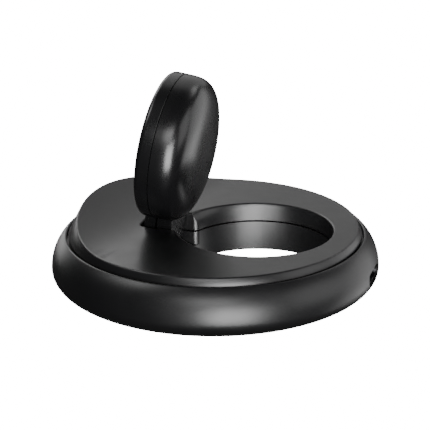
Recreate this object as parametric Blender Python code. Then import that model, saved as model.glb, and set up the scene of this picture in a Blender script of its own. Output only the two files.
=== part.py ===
"""Folding charging dock for a smartwatch.

A round base with a bulging outer ring carries a flat cover with a large
off-centre opening. A round charging head stands on a short neck that is
hinged in a slot beside the opening, and folds down into it.

Frame: metres, +Z up, origin at the centre of the base on the table. +Y runs
from the hinge to the opening and the power port. The hinge axis is along X.
"""

import math

import bmesh
import bpy
from mathutils import Matrix, Vector

MM = 0.001

# Clearances
FIT = 0.30 * MM
SEAM_GAP = 0.30 * MM

# Outer ring of the base
BASE_RADIUS = 39.0 * MM
RING_WALL = 5.4 * MM
RING_WIDEST_Z = 4.65 * MM
RING_LOWER_IN = 5.0 * MM
RING_UPPER_IN = 8.5 * MM
RING_CREST = 0.25 * MM
RING_BOTTOM_Z = 0.5 * MM
LIP_INSET = 3.2 * MM
LIP_ROLL = 0.4 * MM

# Inside of the lower housing
CAVITY_CORNER = 2.2 * MM
UNDERSIDE_Z = 1.9 * MM
FLOOR_THICKNESS = 1.8 * MM

# Foot ring
FOOT_INSET = 4.7 * MM
FOOT_WIDTH = 2.0 * MM
FOOT_GROOVE_DEPTH = 0.75 * MM

# Cover
COVER_TOP_Z = 14.0 * MM
COVER_WALL = 1.9 * MM
COVER_RIM_INSET = 1.0 * MM
COVER_EDGE_DROP = 1.6 * MM
COVER_EDGE_SLOPE = 0.5
COVER_SEAT_DROP = 2.8 * MM
COVER_SEAT_GAP = 0.4 * MM
SCOOP_AHEAD_OF_HINGE = 0.6 * MM
SCOOP_RADIUS = 45.0 * MM
SCOOP_TURN = math.radians(11.4)

# Charging head, in the frame of the folded head with the hinge at its origin
HEAD_RADIUS = 17.4 * MM
HEAD_WALL = 1.6 * MM
SEAM_Z = 1.2 * MM
DOME_DEPTH = 8.4 * MM
DOME_POWER = 3.5
FRONT_THICKNESS = 3.6 * MM
FRONT_EDGE_ROUND = 1.3 * MM
NECK_LENGTH = 5.4 * MM
NECK_HALF = 5.4 * MM
NECK_FRONT = 4.1 * MM
NECK_REAR = 2.7 * MM
NECK_EDGE_ROUND = 0.8 * MM
NECK_SEAM_EXTRA = 0.05 * MM
KNUCKLE_END_WALL = 0.9 * MM
LEAD_CHANNEL_HALF = 1.2 * MM
CLIP_WIDTH = 2.0 * MM
CLIP_THICKNESS = 0.45 * MM
CLIP_OPENING = math.radians(60.0)

# Charging face and what lies behind it
FACE_RIM_WIDTH = 3.6 * MM
FACE_EDGE_HEIGHT = 1.15 * MM
FACE_DISH = 0.5 * MM
FACE_RECESS = 0.1 * MM
FACE_SEAT_WIDTH = 3.2 * MM
WEB_THICKNESS = 1.6 * MM
COIL_MAGNET_GAP = 1.0 * MM
COIL_THICKNESS = 0.9 * MM
FERRITE_THICKNESS = 0.5 * MM
MAGNET_RADIUS = 3.2 * MM
HEAD_BOARD_THICKNESS = 0.8 * MM
HEAD_BOARD_DROP = 0.4 * MM

# Opening through the base
PORT_SIDE_WIDTH = 10.65 * MM
HEAD_GAP = 0.55 * MM
HOLE_FLARE = 0.4 * MM
TUBE_WALL = 1.6 * MM
SEAM_BELOW_HINGE = 0.55 * MM

# Slot for the neck
SLOT_SIDE_GAP = 0.7 * MM
SLOT_BACK_GAP = 0.4 * MM
SLOT_FLOOR_GAP = 0.6 * MM
SLOT_CORNER = 1.2 * MM
JUNCTION_FILLET = 1.5 * MM
SWING_CLEARANCE = 0.40 * MM

# Hinge
OPEN_ANGLE = math.radians(82.0)
AXLE_RADIUS = 1.0 * MM
AXLE_INNER_X = 1.0 * MM
AXLE_FLANGE_WIDTH = 1.2 * MM
AXLE_FLANGE = 0.8 * MM
EAR_THICKNESS = 1.2 * MM
EAR_WALL = 0.6 * MM
EAR_FOOT_LENGTH = 3.9 * MM
EAR_FOOT_THICKNESS = 1.0 * MM
BRACKET_HALF_WIDTH = 3.4 * MM

# Screws
SCREW_RADIUS = 0.9 * MM
SCREW_HEAD_RADIUS = 1.9 * MM
SCREW_HEAD = 1.0 * MM
SCREW_INSET = 5.0 * MM
SCREW_ANGLES = (24.0, 156.0, 218.0, 322.0)
BOSS_WALL = 0.4 * MM
BRACKET_SCREW_RADIUS = 0.7 * MM
BRACKET_SCREW_HEAD_RADIUS = 1.3 * MM
HEAD_SCREW_RADIUS = 0.7 * MM
HEAD_SCREW_HEAD_RADIUS = 1.5 * MM
HEAD_SCREW_HEAD = 0.6 * MM
HEAD_SCREW_LENGTH = 4.6 * MM
HEAD_SCREW_INSET = 1.45 * MM
HEAD_SCREW_ANGLES = (90.0, 210.0, 330.0)
HEAD_BOSS_WALL = 0.65 * MM

# Power port
PORT_RISE = 1.6 * MM
PORT_SHELL_WIDTH = 8.94 * MM
PORT_SHELL_HEIGHT = 3.16 * MM
PORT_SHELL_WALL = 0.3 * MM
PORT_SHELL_LENGTH = 5.9 * MM
PORT_SHELL_BACK = 0.8 * MM
PORT_INSET = 0.9 * MM
TONGUE_SIDE_GAP = 0.82 * MM
TONGUE_THICKNESS = 0.7 * MM
TONGUE_INSET = 0.4 * MM

# Base internals
BOARD_THICKNESS = 1.0 * MM
BALLAST_BEHIND_HOLE = 4.0 * MM
BALLAST_THICKNESS = 2.8 * MM
LEAD_RADIUS = 0.4 * MM
LEAD_FIT = 0.2 * MM

# Facets
RING_SEGMENTS = 56
HOLE_SEGMENTS = 44
HEAD_SEGMENTS = 40
SMALL_SEGMENTS = 16

# Base sizes that follow from the ones above
RING_UPPER_RISE = COVER_TOP_Z + RING_CREST - RING_WIDEST_Z
LIP_RADIUS = BASE_RADIUS - LIP_INSET
CAVITY_RADIUS = BASE_RADIUS - RING_WALL
LEDGE_Z = COVER_TOP_Z - COVER_SEAT_DROP
FLOOR_Z = UNDERSIDE_Z + FLOOR_THICKNESS
FOOT_OUTER = BASE_RADIUS - FOOT_INSET
COVER_RIM_RADIUS = LIP_RADIUS - COVER_RIM_INSET
COVER_EDGE_RADIUS = COVER_RIM_RADIUS - COVER_EDGE_SLOPE * COVER_EDGE_DROP
SCREW_CIRCLE = CAVITY_RADIUS - SCREW_INSET
BOSS_RADIUS = SCREW_HEAD_RADIUS + FIT + BOSS_WALL
PORT_Z = FLOOR_Z + PORT_RISE
BOARD_LOW_Z = PORT_Z + PORT_SHELL_HEIGHT / 2 + FIT

# Opening, hinge and slot, which follow the base and the head
HEAD_REACH = HEAD_RADIUS + NECK_LENGTH
HOLE_RADIUS = HEAD_RADIUS + HEAD_GAP
HOLE_Y = BASE_RADIUS - PORT_SIDE_WIDTH - HOLE_RADIUS
HOLE_CLEAR_RADIUS = HOLE_RADIUS + TUBE_WALL + FIT
HINGE_Y = HOLE_Y - HEAD_REACH
HINGE_Z = COVER_TOP_Z - NECK_FRONT
SCOOP_START = -HINGE_Y * math.cos(SCOOP_TURN) - SCOOP_AHEAD_OF_HINGE
WALL_SEAM_Z = HINGE_Z - SEAM_BELOW_HINGE
SKIRT_BOTTOM_Z = WALL_SEAM_Z + SEAM_GAP / 2
TUBE_TOP_Z = WALL_SEAM_Z - SEAM_GAP / 2
SLOT_HALF = NECK_HALF + SLOT_SIDE_GAP
SLOT_BACK_Y = HINGE_Y - NECK_FRONT - SLOT_BACK_GAP
SLOT_FLOOR_Z = HINGE_Z - (NECK_FRONT + NECK_REAR) / 2 - SLOT_FLOOR_GAP
BOARD_REAR_Y = SCREW_CIRCLE * math.sin(math.radians(SCREW_ANGLES[0])) + BOSS_RADIUS + 2 * FIT
BALLAST_FRONT_Y = HOLE_Y - BALLAST_BEHIND_HOLE

# Hinge and head sizes that follow
AXLE_BORE = LEAD_RADIUS + LEAD_FIT
AXLE_HOLE = AXLE_RADIUS + FIT
AXLE_FLANGE_RADIUS = AXLE_RADIUS + AXLE_FLANGE_WIDTH
EAR_RADIUS = AXLE_HOLE + EAR_WALL
EAR_INNER_X = SLOT_HALF + TUBE_WALL + FIT
AXLE_OUTER_X = EAR_INNER_X + EAR_THICKNESS + FIT
KNUCKLE_POCKET = AXLE_HOLE + CLIP_THICKNESS + FIT
FACE_RADIUS = HEAD_RADIUS - FACE_RIM_WIDTH
WEB_INNER_RADIUS = FACE_RADIUS - FACE_SEAT_WIDTH
FRONT_Z = SEAM_Z + FRONT_THICKNESS
FACE_POCKET_Z = FRONT_Z - FACE_RECESS - FACE_EDGE_HEIGHT - FIT
WEB_BOTTOM_Z = FACE_POCKET_Z - WEB_THICKNESS
COIL_INNER = MAGNET_RADIUS + COIL_MAGNET_GAP
HEAD_SCREW_CIRCLE = FACE_RADIUS - HEAD_SCREW_INSET
HEAD_BOSS_RADIUS = HEAD_SCREW_RADIUS + FIT + HEAD_BOSS_WALL
TONGUE_WIDTH = PORT_SHELL_WIDTH - 2 * (PORT_SHELL_WALL + TONGUE_SIDE_GAP)
TONGUE_LENGTH = PORT_SHELL_LENGTH - PORT_SHELL_BACK - FIT - TONGUE_INSET


# Helpers

def arc(centre, radii, start, end, steps):
    """Points of an elliptic arc, both ends included, angles in radians."""
    points = []
    for i in range(steps + 1):
        a = start + (end - start) * i / steps
        points.append((centre[0] + radii[0] * math.cos(a), centre[1] + radii[1] * math.sin(a)))
    return points


def make_material(name, colour, roughness, metallic=0.0):
    material = bpy.data.materials.new(name)
    material.use_nodes = True
    shader = material.node_tree.nodes["Principled BSDF"]
    shader.inputs["Base Color"].default_value = (*colour, 1.0)
    shader.inputs["Roughness"].default_value = roughness
    shader.inputs["Metallic"].default_value = metallic
    material.diffuse_color = (*colour, 1.0)
    return material


def finish(name, bm, parent):
    bmesh.ops.recalc_face_normals(bm, faces=bm.faces)
    mesh = bpy.data.meshes.new(name)
    bm.to_mesh(mesh)
    bm.free()
    obj = bpy.data.objects.new(name, mesh)
    bpy.context.scene.collection.objects.link(obj)
    obj.parent = parent
    return obj


def piece(name, bm, material, parent=None):
    obj = finish(name, bm, parent)
    obj.data.materials.append(material)
    obj.data.shade_smooth()
    obj.data.set_sharp_from_angle(angle=math.radians(32))
    return obj


def tool(name, bm, parent=None):
    obj = finish(name, bm, parent)
    obj.hide_render = True
    obj.display_type = "WIRE"
    return obj


def combine(target, other, operation):
    modifier = target.modifiers.new(operation.lower() + "_" + other.name, "BOOLEAN")
    modifier.operation = operation
    modifier.object = other
    modifier.solver = "EXACT"


def cut(target, *tools):
    for other in tools:
        combine(target, other, "DIFFERENCE")


def join(target, *tools):
    for other in tools:
        combine(target, other, "UNION")


def lathe(profile, segments, centre=(0.0, 0.0), bm=None):
    """Turn a closed profile of (radius, z) about a vertical axis."""
    bm = bm or bmesh.new()
    verts = [bm.verts.new((centre[0] + r, centre[1], z)) for r, z in profile]
    edges = [bm.edges.new((verts[i - 1], verts[i])) for i in range(len(verts))]
    bmesh.ops.spin(bm, geom=verts + edges, cent=(*centre, 0.0), axis=(0, 0, 1),
                   angle=2 * math.pi, steps=segments, use_merge=True)
    bmesh.ops.remove_doubles(bm, verts=bm.verts, dist=0.001 * MM)
    loose = [e for e in bm.edges if not e.link_faces]
    bmesh.ops.delete(bm, geom=loose, context="EDGES")
    return bm


def prism(outline, low, high, bm=None):
    """Extrude an outline of (x, y) from one height to another."""
    bm = bm or bmesh.new()
    face = bm.faces.new([bm.verts.new((x, y, low)) for x, y in outline])
    grown = bmesh.ops.extrude_face_region(bm, geom=[face])
    moved = [v for v in grown["geom"] if isinstance(v, bmesh.types.BMVert)]
    bmesh.ops.translate(bm, verts=moved, vec=(0, 0, high - low))
    return bm


def prism_x(outline, low, high, bm=None):
    """Extrude an outline of (y, z) from one X to another."""
    bm = bm or bmesh.new()
    face = bm.faces.new([bm.verts.new((low, y, z)) for y, z in outline])
    grown = bmesh.ops.extrude_face_region(bm, geom=[face])
    moved = [v for v in grown["geom"] if isinstance(v, bmesh.types.BMVert)]
    bmesh.ops.translate(bm, verts=moved, vec=(high - low, 0, 0))
    return bm


def box(low, high, bm=None):
    return prism([(low[0], low[1]), (high[0], low[1]), (high[0], high[1]), (low[0], high[1])],
                 low[2], high[2], bm)


def disc(radius, low, high, centre=(0.0, 0.0), segments=SMALL_SEGMENTS, bm=None):
    ring = [(centre[0] + radius * math.cos(2 * math.pi * i / segments),
             centre[1] + radius * math.sin(2 * math.pi * i / segments)) for i in range(segments)]
    return prism(ring, low, high, bm)


def rod_x(radius, low, high, centre=(0.0, 0.0), segments=SMALL_SEGMENTS, bm=None):
    ring = [(centre[0] + radius * math.cos(2 * math.pi * i / segments),
             centre[1] + radius * math.sin(2 * math.pi * i / segments)) for i in range(segments)]
    return prism_x(ring, low, high, bm)


def spin_x(profile, segments, centre=(0.0, 0.0)):
    """Turn a closed profile of (x, radius) about an axis along X."""
    bm = bmesh.new()
    verts = [bm.verts.new((x, centre[0], centre[1] + r)) for x, r in profile]
    edges = [bm.edges.new((verts[i - 1], verts[i])) for i in range(len(verts))]
    bmesh.ops.spin(bm, geom=verts + edges, cent=(0.0, *centre), axis=(1, 0, 0),
                   angle=2 * math.pi, steps=segments, use_merge=True)
    bmesh.ops.remove_doubles(bm, verts=bm.verts, dist=0.001 * MM)
    loose = [e for e in bm.edges if not e.link_faces]
    bmesh.ops.delete(bm, geom=loose, context="EDGES")
    return bm


def opening_outline(offset, hole_steps=HOLE_SEGMENTS):
    """Plan of the opening with its slot, grown by an offset into the base."""
    hole = HOLE_RADIUS + offset
    half = SLOT_HALF + offset
    back = SLOT_BACK_Y - offset
    corner = SLOT_CORNER + offset
    fillet = max(JUNCTION_FILLET - offset, 0.0)
    joint_y = HOLE_Y - math.sqrt((hole + fillet) ** 2 - (half + fillet) ** 2)
    turn = math.atan2(joint_y - HOLE_Y, half + fillet)
    right = arc((half - corner, back + corner), (corner, corner), -math.pi / 2, 0, 5)
    if fillet > 0:
        right += arc((half + fillet, joint_y), (fillet, fillet), math.pi, math.pi + turn, 5)[:-1]
    right += arc((0, HOLE_Y), (hole, hole), turn, math.pi / 2, hole_steps // 2)
    left = [(-x, y) for x, y in reversed(right[:-1])]
    return right + left


def roof_tool(name, drop, reach):
    """Solid below the cover's top: flat at the port end, scooped up behind the hinge.

    The scoop is part of a cylinder. Its axis is level and turned a little from
    the hinge's, so the deck rises most behind the hinge and to its -X side.
    """
    level = COVER_TOP_Z - drop
    end = math.asin((reach - SCOOP_START) / SCOOP_RADIUS)
    outline = [(reach, level)]
    outline += arc((-SCOOP_START, level + SCOOP_RADIUS), (SCOOP_RADIUS, SCOOP_RADIUS),
                   -math.pi / 2, -math.pi / 2 - end, 10)
    outline += [(-reach, 0.0), (reach, 0.0)]
    bm = prism_x(outline, -reach, reach)
    bmesh.ops.rotate(bm, verts=bm.verts, cent=(0.0, 0.0, 0.0), matrix=Matrix.Rotation(-SCOOP_TURN, 3, "Z"))
    return tool(name, bm)


def roof_height(back):
    """Height of the cover's top at a distance up the scoop from the base's centre."""
    s = max(back - SCOOP_START, 0.0)
    return COVER_TOP_Z + SCOOP_RADIUS - math.sqrt(SCOOP_RADIUS ** 2 - s * s)


def ring_surface(z):
    """Radius of the ring's outer surface at a height below its lip."""
    if z >= RING_WIDEST_Z:
        t = (z - RING_WIDEST_Z) / RING_UPPER_RISE
        return BASE_RADIUS - RING_UPPER_IN + RING_UPPER_IN * math.sqrt(1 - t * t)
    t = (RING_WIDEST_Z - z) / (RING_WIDEST_Z - RING_BOTTOM_Z)
    return BASE_RADIUS - RING_LOWER_IN + RING_LOWER_IN * math.sqrt(1 - t * t)


def screw_points():
    return [(SCREW_CIRCLE * math.cos(math.radians(a)), SCREW_CIRCLE * math.sin(math.radians(a)))
            for a in SCREW_ANGLES]


def head_screw_points():
    return [(HEAD_SCREW_CIRCLE * math.cos(math.radians(a)),
             HEAD_REACH + HEAD_SCREW_CIRCLE * math.sin(math.radians(a))) for a in HEAD_SCREW_ANGLES]


def stadium(width, height, centre_z, steps=6):
    """Outline of (x, z) with round ends, counter-clockwise."""
    r = height / 2
    flat = width / 2 - r
    return (arc((flat, centre_z), (r, r), -math.pi / 2, math.pi / 2, steps)
            + arc((-flat, centre_z), (r, r), math.pi / 2, 3 * math.pi / 2, steps))


def stadium_prism(width, height, centre_z, low_y, high_y, bm=None):
    bm = bm or bmesh.new()
    face = bm.faces.new([bm.verts.new((x, low_y, z)) for x, z in stadium(width, height, centre_z)])
    grown = bmesh.ops.extrude_face_region(bm, geom=[face])
    moved = [v for v in grown["geom"] if isinstance(v, bmesh.types.BMVert)]
    bmesh.ops.translate(bm, verts=moved, vec=(0, high_y - low_y, 0))
    return bm


def dome_profile(radius, depth, start, steps):
    """Superellipse from the rim down to the pole, as (radius, depth below the seam)."""
    points = []
    first = math.asin((start / depth) ** (DOME_POWER / 2)) if start > 0 else 0.0
    for i in range(steps + 1):
        a = first + (math.pi / 2 - first) * i / steps
        c = max(math.cos(a), 0.0)
        points.append((radius * c ** (2 / DOME_POWER), depth * math.sin(a) ** (2 / DOME_POWER)))
    points[-1] = (0.0, depth)
    return points


def lead(name, points, material, parent=None):
    """A round lead along a smooth route."""
    curve = bpy.data.curves.new(name, "CURVE")
    curve.dimensions = "3D"
    curve.bevel_depth = LEAD_RADIUS
    curve.bevel_resolution = 2
    curve.use_fill_caps = True
    spline = curve.splines.new("POLY")
    route = smooth_route(points, 3)
    spline.points.add(len(route) - 1)
    for point, co in zip(spline.points, route):
        point.co = (*co, 1.0)
    curve.materials.append(material)
    obj = bpy.data.objects.new(name, curve)
    bpy.context.scene.collection.objects.link(obj)
    obj.parent = parent
    return obj


def smooth_route(points, steps):
    """Points of a Catmull-Rom curve through the given ones."""
    p = [Vector(q) for q in points]
    p = [2 * p[0] - p[1]] + p + [2 * p[-1] - p[-2]]
    route = []
    for a, b, c, d in zip(p, p[1:], p[2:], p[3:]):
        for i in range(steps):
            t = i / steps
            route.append(0.5 * (2 * b + (c - a) * t + (2 * a - 5 * b + 4 * c - d) * t * t
                                + (3 * b - a - 3 * c + d) * t ** 3))
    route.append(p[-2])
    return route


# Base

def build_lower_housing(material):
    lower = (BASE_RADIUS - RING_LOWER_IN, RING_WIDEST_Z)
    lower_radii = (RING_LOWER_IN, RING_WIDEST_Z - RING_BOTTOM_Z)
    upper = (BASE_RADIUS - RING_UPPER_IN, RING_WIDEST_Z)
    lip = math.acos((LIP_RADIUS - upper[0]) / RING_UPPER_IN)
    groove_outer = FOOT_OUTER + FIT
    groove_inner = FOOT_OUTER - FOOT_WIDTH - FIT
    groove = math.acos((groove_outer - lower[0]) / RING_LOWER_IN)
    lip_x = upper[0] + RING_UPPER_IN * math.cos(lip)
    lip_z = upper[1] + RING_UPPER_RISE * math.sin(lip)
    normal = Vector((math.cos(lip) / RING_UPPER_IN, math.sin(lip) / RING_UPPER_RISE)).normalized()
    roll = (lip_x - LIP_ROLL * normal.x, lip_z - LIP_ROLL * normal.y)
    turn = math.atan2(normal.y, normal.x)
    floor_corner = (CAVITY_RADIUS - CAVITY_CORNER, FLOOR_Z + CAVITY_CORNER)

    profile = arc(roll, (LIP_ROLL, LIP_ROLL), math.pi, turn, 3)[:-1]
    profile += arc(upper, (RING_UPPER_IN, RING_UPPER_RISE), lip, 0, 5)[:-1]
    profile += arc(lower, lower_radii, 0, -groove, 5)
    profile += [(groove_outer, RING_BOTTOM_Z + FOOT_GROOVE_DEPTH)]
    profile += [(groove_inner, RING_BOTTOM_Z + FOOT_GROOVE_DEPTH)]
    profile += [(groove_inner, RING_BOTTOM_Z), (groove_inner - 0.4 * MM, RING_BOTTOM_Z)]
    profile += [(groove_inner - 0.8 * MM, UNDERSIDE_Z), (0.0, UNDERSIDE_Z), (0.0, FLOOR_Z)]
    profile += arc(floor_corner, (CAVITY_CORNER, CAVITY_CORNER), -math.pi / 2, 0, 2)
    profile += [(CAVITY_RADIUS, LEDGE_Z), (roll[0] - LIP_ROLL, LEDGE_Z)]
    housing = piece("lower_housing", lathe(profile, RING_SEGMENTS), material)

    root = (UNDERSIDE_Z + FLOOR_Z) / 2
    join(housing, tool("tube_body", prism(opening_outline(TUBE_WALL), root, TUBE_TOP_Z)))
    bosses = bmesh.new()
    for point in screw_points():
        disc(BOSS_RADIUS, root, WALL_SEAM_Z, point, bm=bosses)
    for side in (-1, 1):
        disc(BRACKET_SCREW_RADIUS + FIT + 0.7 * MM, root, FLOOR_Z + 0.05 * MM, bracket_screw_point(side), 12,
             bosses)
    join(housing, tool("housing_bosses", bosses))

    cut(housing, tool("opening_cut", prism(opening_outline(0.0), SLOT_FLOOR_Z, COVER_TOP_Z)))
    flare = arc((HOLE_RADIUS + HOLE_FLARE, UNDERSIDE_Z + HOLE_FLARE), (HOLE_FLARE, HOLE_FLARE),
                math.pi, 3 * math.pi / 2, 4)
    hole = [(0.0, COVER_TOP_Z), (HOLE_RADIUS, COVER_TOP_Z)] + flare
    hole += [(HOLE_RADIUS + HOLE_FLARE, 0.0), (0.0, 0.0)]
    cut(housing, tool("hole_cut", lathe(hole, HOLE_SEGMENTS, (0.0, HOLE_Y))))

    cut(housing, tool("screw_counterbores", counterbores()))

    notch = bmesh.new()
    outline = arc((HINGE_Y, HINGE_Z), (AXLE_HOLE, AXLE_HOLE), math.pi, 2 * math.pi, 8)
    outline += [(HINGE_Y + AXLE_HOLE, COVER_TOP_Z), (HINGE_Y - AXLE_HOLE, COVER_TOP_Z)]
    reach = EAR_INNER_X + EAR_THICKNESS
    prism_x(outline, -reach, reach, notch)
    cut(housing, tool("axle_notch", notch))

    port = stadium_prism(PORT_SHELL_WIDTH + 2 * FIT, PORT_SHELL_HEIGHT + 2 * FIT, PORT_Z,
                         CAVITY_RADIUS - 2 * MM, BASE_RADIUS + 2 * MM)
    cut(housing, tool("port_cut", port))
    return housing


def counterbores():
    """Stepped holes for the housing screws, turned one by one."""
    bm = bmesh.new()
    head = SCREW_HEAD_RADIUS + FIT
    shank = SCREW_RADIUS + FIT
    step = UNDERSIDE_Z + SCREW_HEAD + 2 * FIT
    for point in screw_points():
        outline = [(0.0, 0.0), (head, 0.0), (head, step), (shank, step), (shank, COVER_TOP_Z), (0.0, COVER_TOP_Z)]
        lathe(outline, 16, point, bm)
    return bm


def bracket_screw_point(side):
    return (side * (EAR_INNER_X + EAR_THICKNESS + EAR_FOOT_LENGTH / 2), HINGE_Y)


def build_top_cover(material):
    top = roof_height(COVER_EDGE_RADIUS) + 1.0 * MM
    low = LEDGE_Z + COVER_SEAT_GAP
    shoulder = COVER_TOP_Z - COVER_EDGE_DROP
    outer = [(0.0, top), (COVER_RIM_RADIUS - COVER_EDGE_SLOPE * (top - shoulder), top),
             (COVER_RIM_RADIUS, shoulder), (COVER_RIM_RADIUS, low), (0.0, low)]
    cover = piece("top_cover", lathe(outer, RING_SEGMENTS), material)

    reach = BASE_RADIUS
    inner = COVER_RIM_RADIUS - COVER_WALL
    hollow = [(0.0, 1.0 * MM), (inner, 1.0 * MM), (inner, shoulder),
              (inner - COVER_EDGE_SLOPE * (top - shoulder), top), (0.0, top)]
    under = tool("cover_underside", lathe(hollow, RING_SEGMENTS))
    combine(under, roof_tool("cover_ceiling", COVER_WALL, reach), "INTERSECT")
    cut(cover, under)

    join(cover, tool("skirt_body", prism(opening_outline(TUBE_WALL), SKIRT_BOTTOM_Z, top + 1.0 * MM)))
    bosses = bmesh.new()
    for point in screw_points():
        disc(BOSS_RADIUS, WALL_SEAM_Z + FIT, top + 1.0 * MM, point, bm=bosses)
    join(cover, tool("cover_bosses", bosses))
    combine(cover, roof_tool("cover_roof", 0.0, reach), "INTERSECT")

    cut(cover, tool("cover_opening", prism(opening_outline(0.0), 0.0, top)))
    cut(cover, tool("swing_relief", swing_relief()))
    notch = bmesh.new()
    outline = arc((HINGE_Y, HINGE_Z), (AXLE_HOLE, AXLE_HOLE), 0, math.pi, 8)
    outline += [(HINGE_Y - AXLE_HOLE, HINGE_Z - AXLE_HOLE), (HINGE_Y + AXLE_HOLE, HINGE_Z - AXLE_HOLE)]
    span = EAR_INNER_X + EAR_THICKNESS
    prism_x(outline, -span, span, notch)
    cut(cover, tool("skirt_notch", notch))
    pilots = bmesh.new()
    for point in screw_points():
        disc(SCREW_RADIUS + FIT, 0.0, COVER_TOP_Z - COVER_WALL / 2, point, 16, pilots)
    cut(cover, tool("screw_pilots", pilots))
    return cover


def swing_relief():
    """Near half of the head's outline, turned about the hinge axis.

    Beside the slot the edge of the head rises on a circle about the hinge and
    would strike the rim of the opening, so the rim gives way by this sweep.
    """
    radius = HEAD_RADIUS + SWING_CLEARANCE
    profile = [(radius * math.cos(a), HEAD_REACH - radius * math.sin(a))
               for a in (math.pi * i / 28 for i in range(29))]
    bm = bmesh.new()
    verts = [bm.verts.new((x, HINGE_Y + r, HINGE_Z)) for x, r in profile]
    face = bm.faces.new(verts)
    bmesh.ops.spin(bm, geom=[face], cent=(0.0, HINGE_Y, HINGE_Z), axis=(1, 0, 0),
                   angle=math.radians(75), steps=10, use_merge=False)
    return bm


def build_base_parts(mats):
    inner = FOOT_OUTER - FOOT_WIDTH
    top = RING_BOTTOM_Z + FOOT_GROOVE_DEPTH - FIT
    r = 0.3 * MM
    foot = [(inner, r), (inner + r, 0.0), (FOOT_OUTER - r, 0.0), (FOOT_OUTER, r), (FOOT_OUTER, top), (inner, top)]
    piece("foot_ring", lathe(foot, RING_SEGMENTS), mats["silicone"])

    low = FLOOR_Z + FIT
    ballast = piece("ballast_plate", disc(CAVITY_RADIUS - CAVITY_CORNER, low, low + BALLAST_THICKNESS,
                                          segments=48), mats["steel"])
    far = BASE_RADIUS
    cut(ballast, tool("ballast_front", box((-far, BALLAST_FRONT_Y, 0), (far, far, COVER_TOP_Z))))
    cut(ballast, tool("ballast_slot", prism(opening_outline(TUBE_WALL + 2 * FIT, 24), 0.0, COVER_TOP_Z)))
    room = EAR_INNER_X + EAR_THICKNESS + EAR_FOOT_LENGTH + 2 * FIT
    half = BRACKET_HALF_WIDTH + 2 * FIT
    cut(ballast, tool("ballast_bracket_room", box((-room, HINGE_Y - half, 0), (room, HINGE_Y + half, COVER_TOP_Z))))
    clear = bmesh.new()
    for point in screw_points():
        disc(BOSS_RADIUS + 2 * FIT, 0.0, COVER_TOP_Z, point, bm=clear)
    cut(ballast, tool("ballast_boss_room", clear))

    board = piece("circuit_board", disc(CAVITY_RADIUS - 2 * FIT, BOARD_LOW_Z, BOARD_LOW_Z + BOARD_THICKNESS,
                                        segments=56), mats["board"])
    cut(board, tool("board_rear", box((-far, -far, 0), (far, BOARD_REAR_Y, COVER_TOP_Z))))
    cut(board, tool("board_hole", disc(HOLE_CLEAR_RADIUS + FIT, 0.0, COVER_TOP_Z, (0.0, HOLE_Y), 48)))

    mouth = ring_surface(PORT_Z) - PORT_INSET
    shell = piece("usb_c_shell", stadium_prism(PORT_SHELL_WIDTH, PORT_SHELL_HEIGHT, PORT_Z,
                                               mouth - PORT_SHELL_LENGTH, mouth), mats["steel"])
    wall = 2 * PORT_SHELL_WALL
    cut(shell, tool("port_mouth", stadium_prism(PORT_SHELL_WIDTH - wall, PORT_SHELL_HEIGHT - wall, PORT_Z,
                                                mouth - PORT_SHELL_LENGTH + PORT_SHELL_BACK,
                                                mouth + 1.0 * MM)))
    root = mouth - PORT_SHELL_LENGTH + PORT_SHELL_BACK + FIT
    half = TONGUE_THICKNESS / 2
    tongue = box((-TONGUE_WIDTH / 2, root, PORT_Z - half), (TONGUE_WIDTH / 2, root + TONGUE_LENGTH, PORT_Z + half))
    edges = [e for e in tongue.edges if all(v.co.y > root + TONGUE_LENGTH / 2 for v in e.verts)]
    bmesh.ops.bevel(tongue, geom=edges, offset=0.15 * MM, segments=1, affect="EDGES", clamp_overlap=True)
    piece("usb_c_tongue", tongue, mats["board"])

    for number, point in enumerate(screw_points(), 1):
        base = UNDERSIDE_Z + FIT
        outline = [(0.0, base), (SCREW_HEAD_RADIUS - FIT, base), (SCREW_HEAD_RADIUS, base + 0.3 * MM),
                   (SCREW_HEAD_RADIUS, base + SCREW_HEAD), (SCREW_RADIUS, base + SCREW_HEAD),
                   (SCREW_RADIUS, COVER_TOP_Z - COVER_WALL - FIT), (0.0, COVER_TOP_Z - COVER_WALL)]
        piece("housing_screw_%d" % number, lathe(outline, 16, point), mats["steel"])


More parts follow.
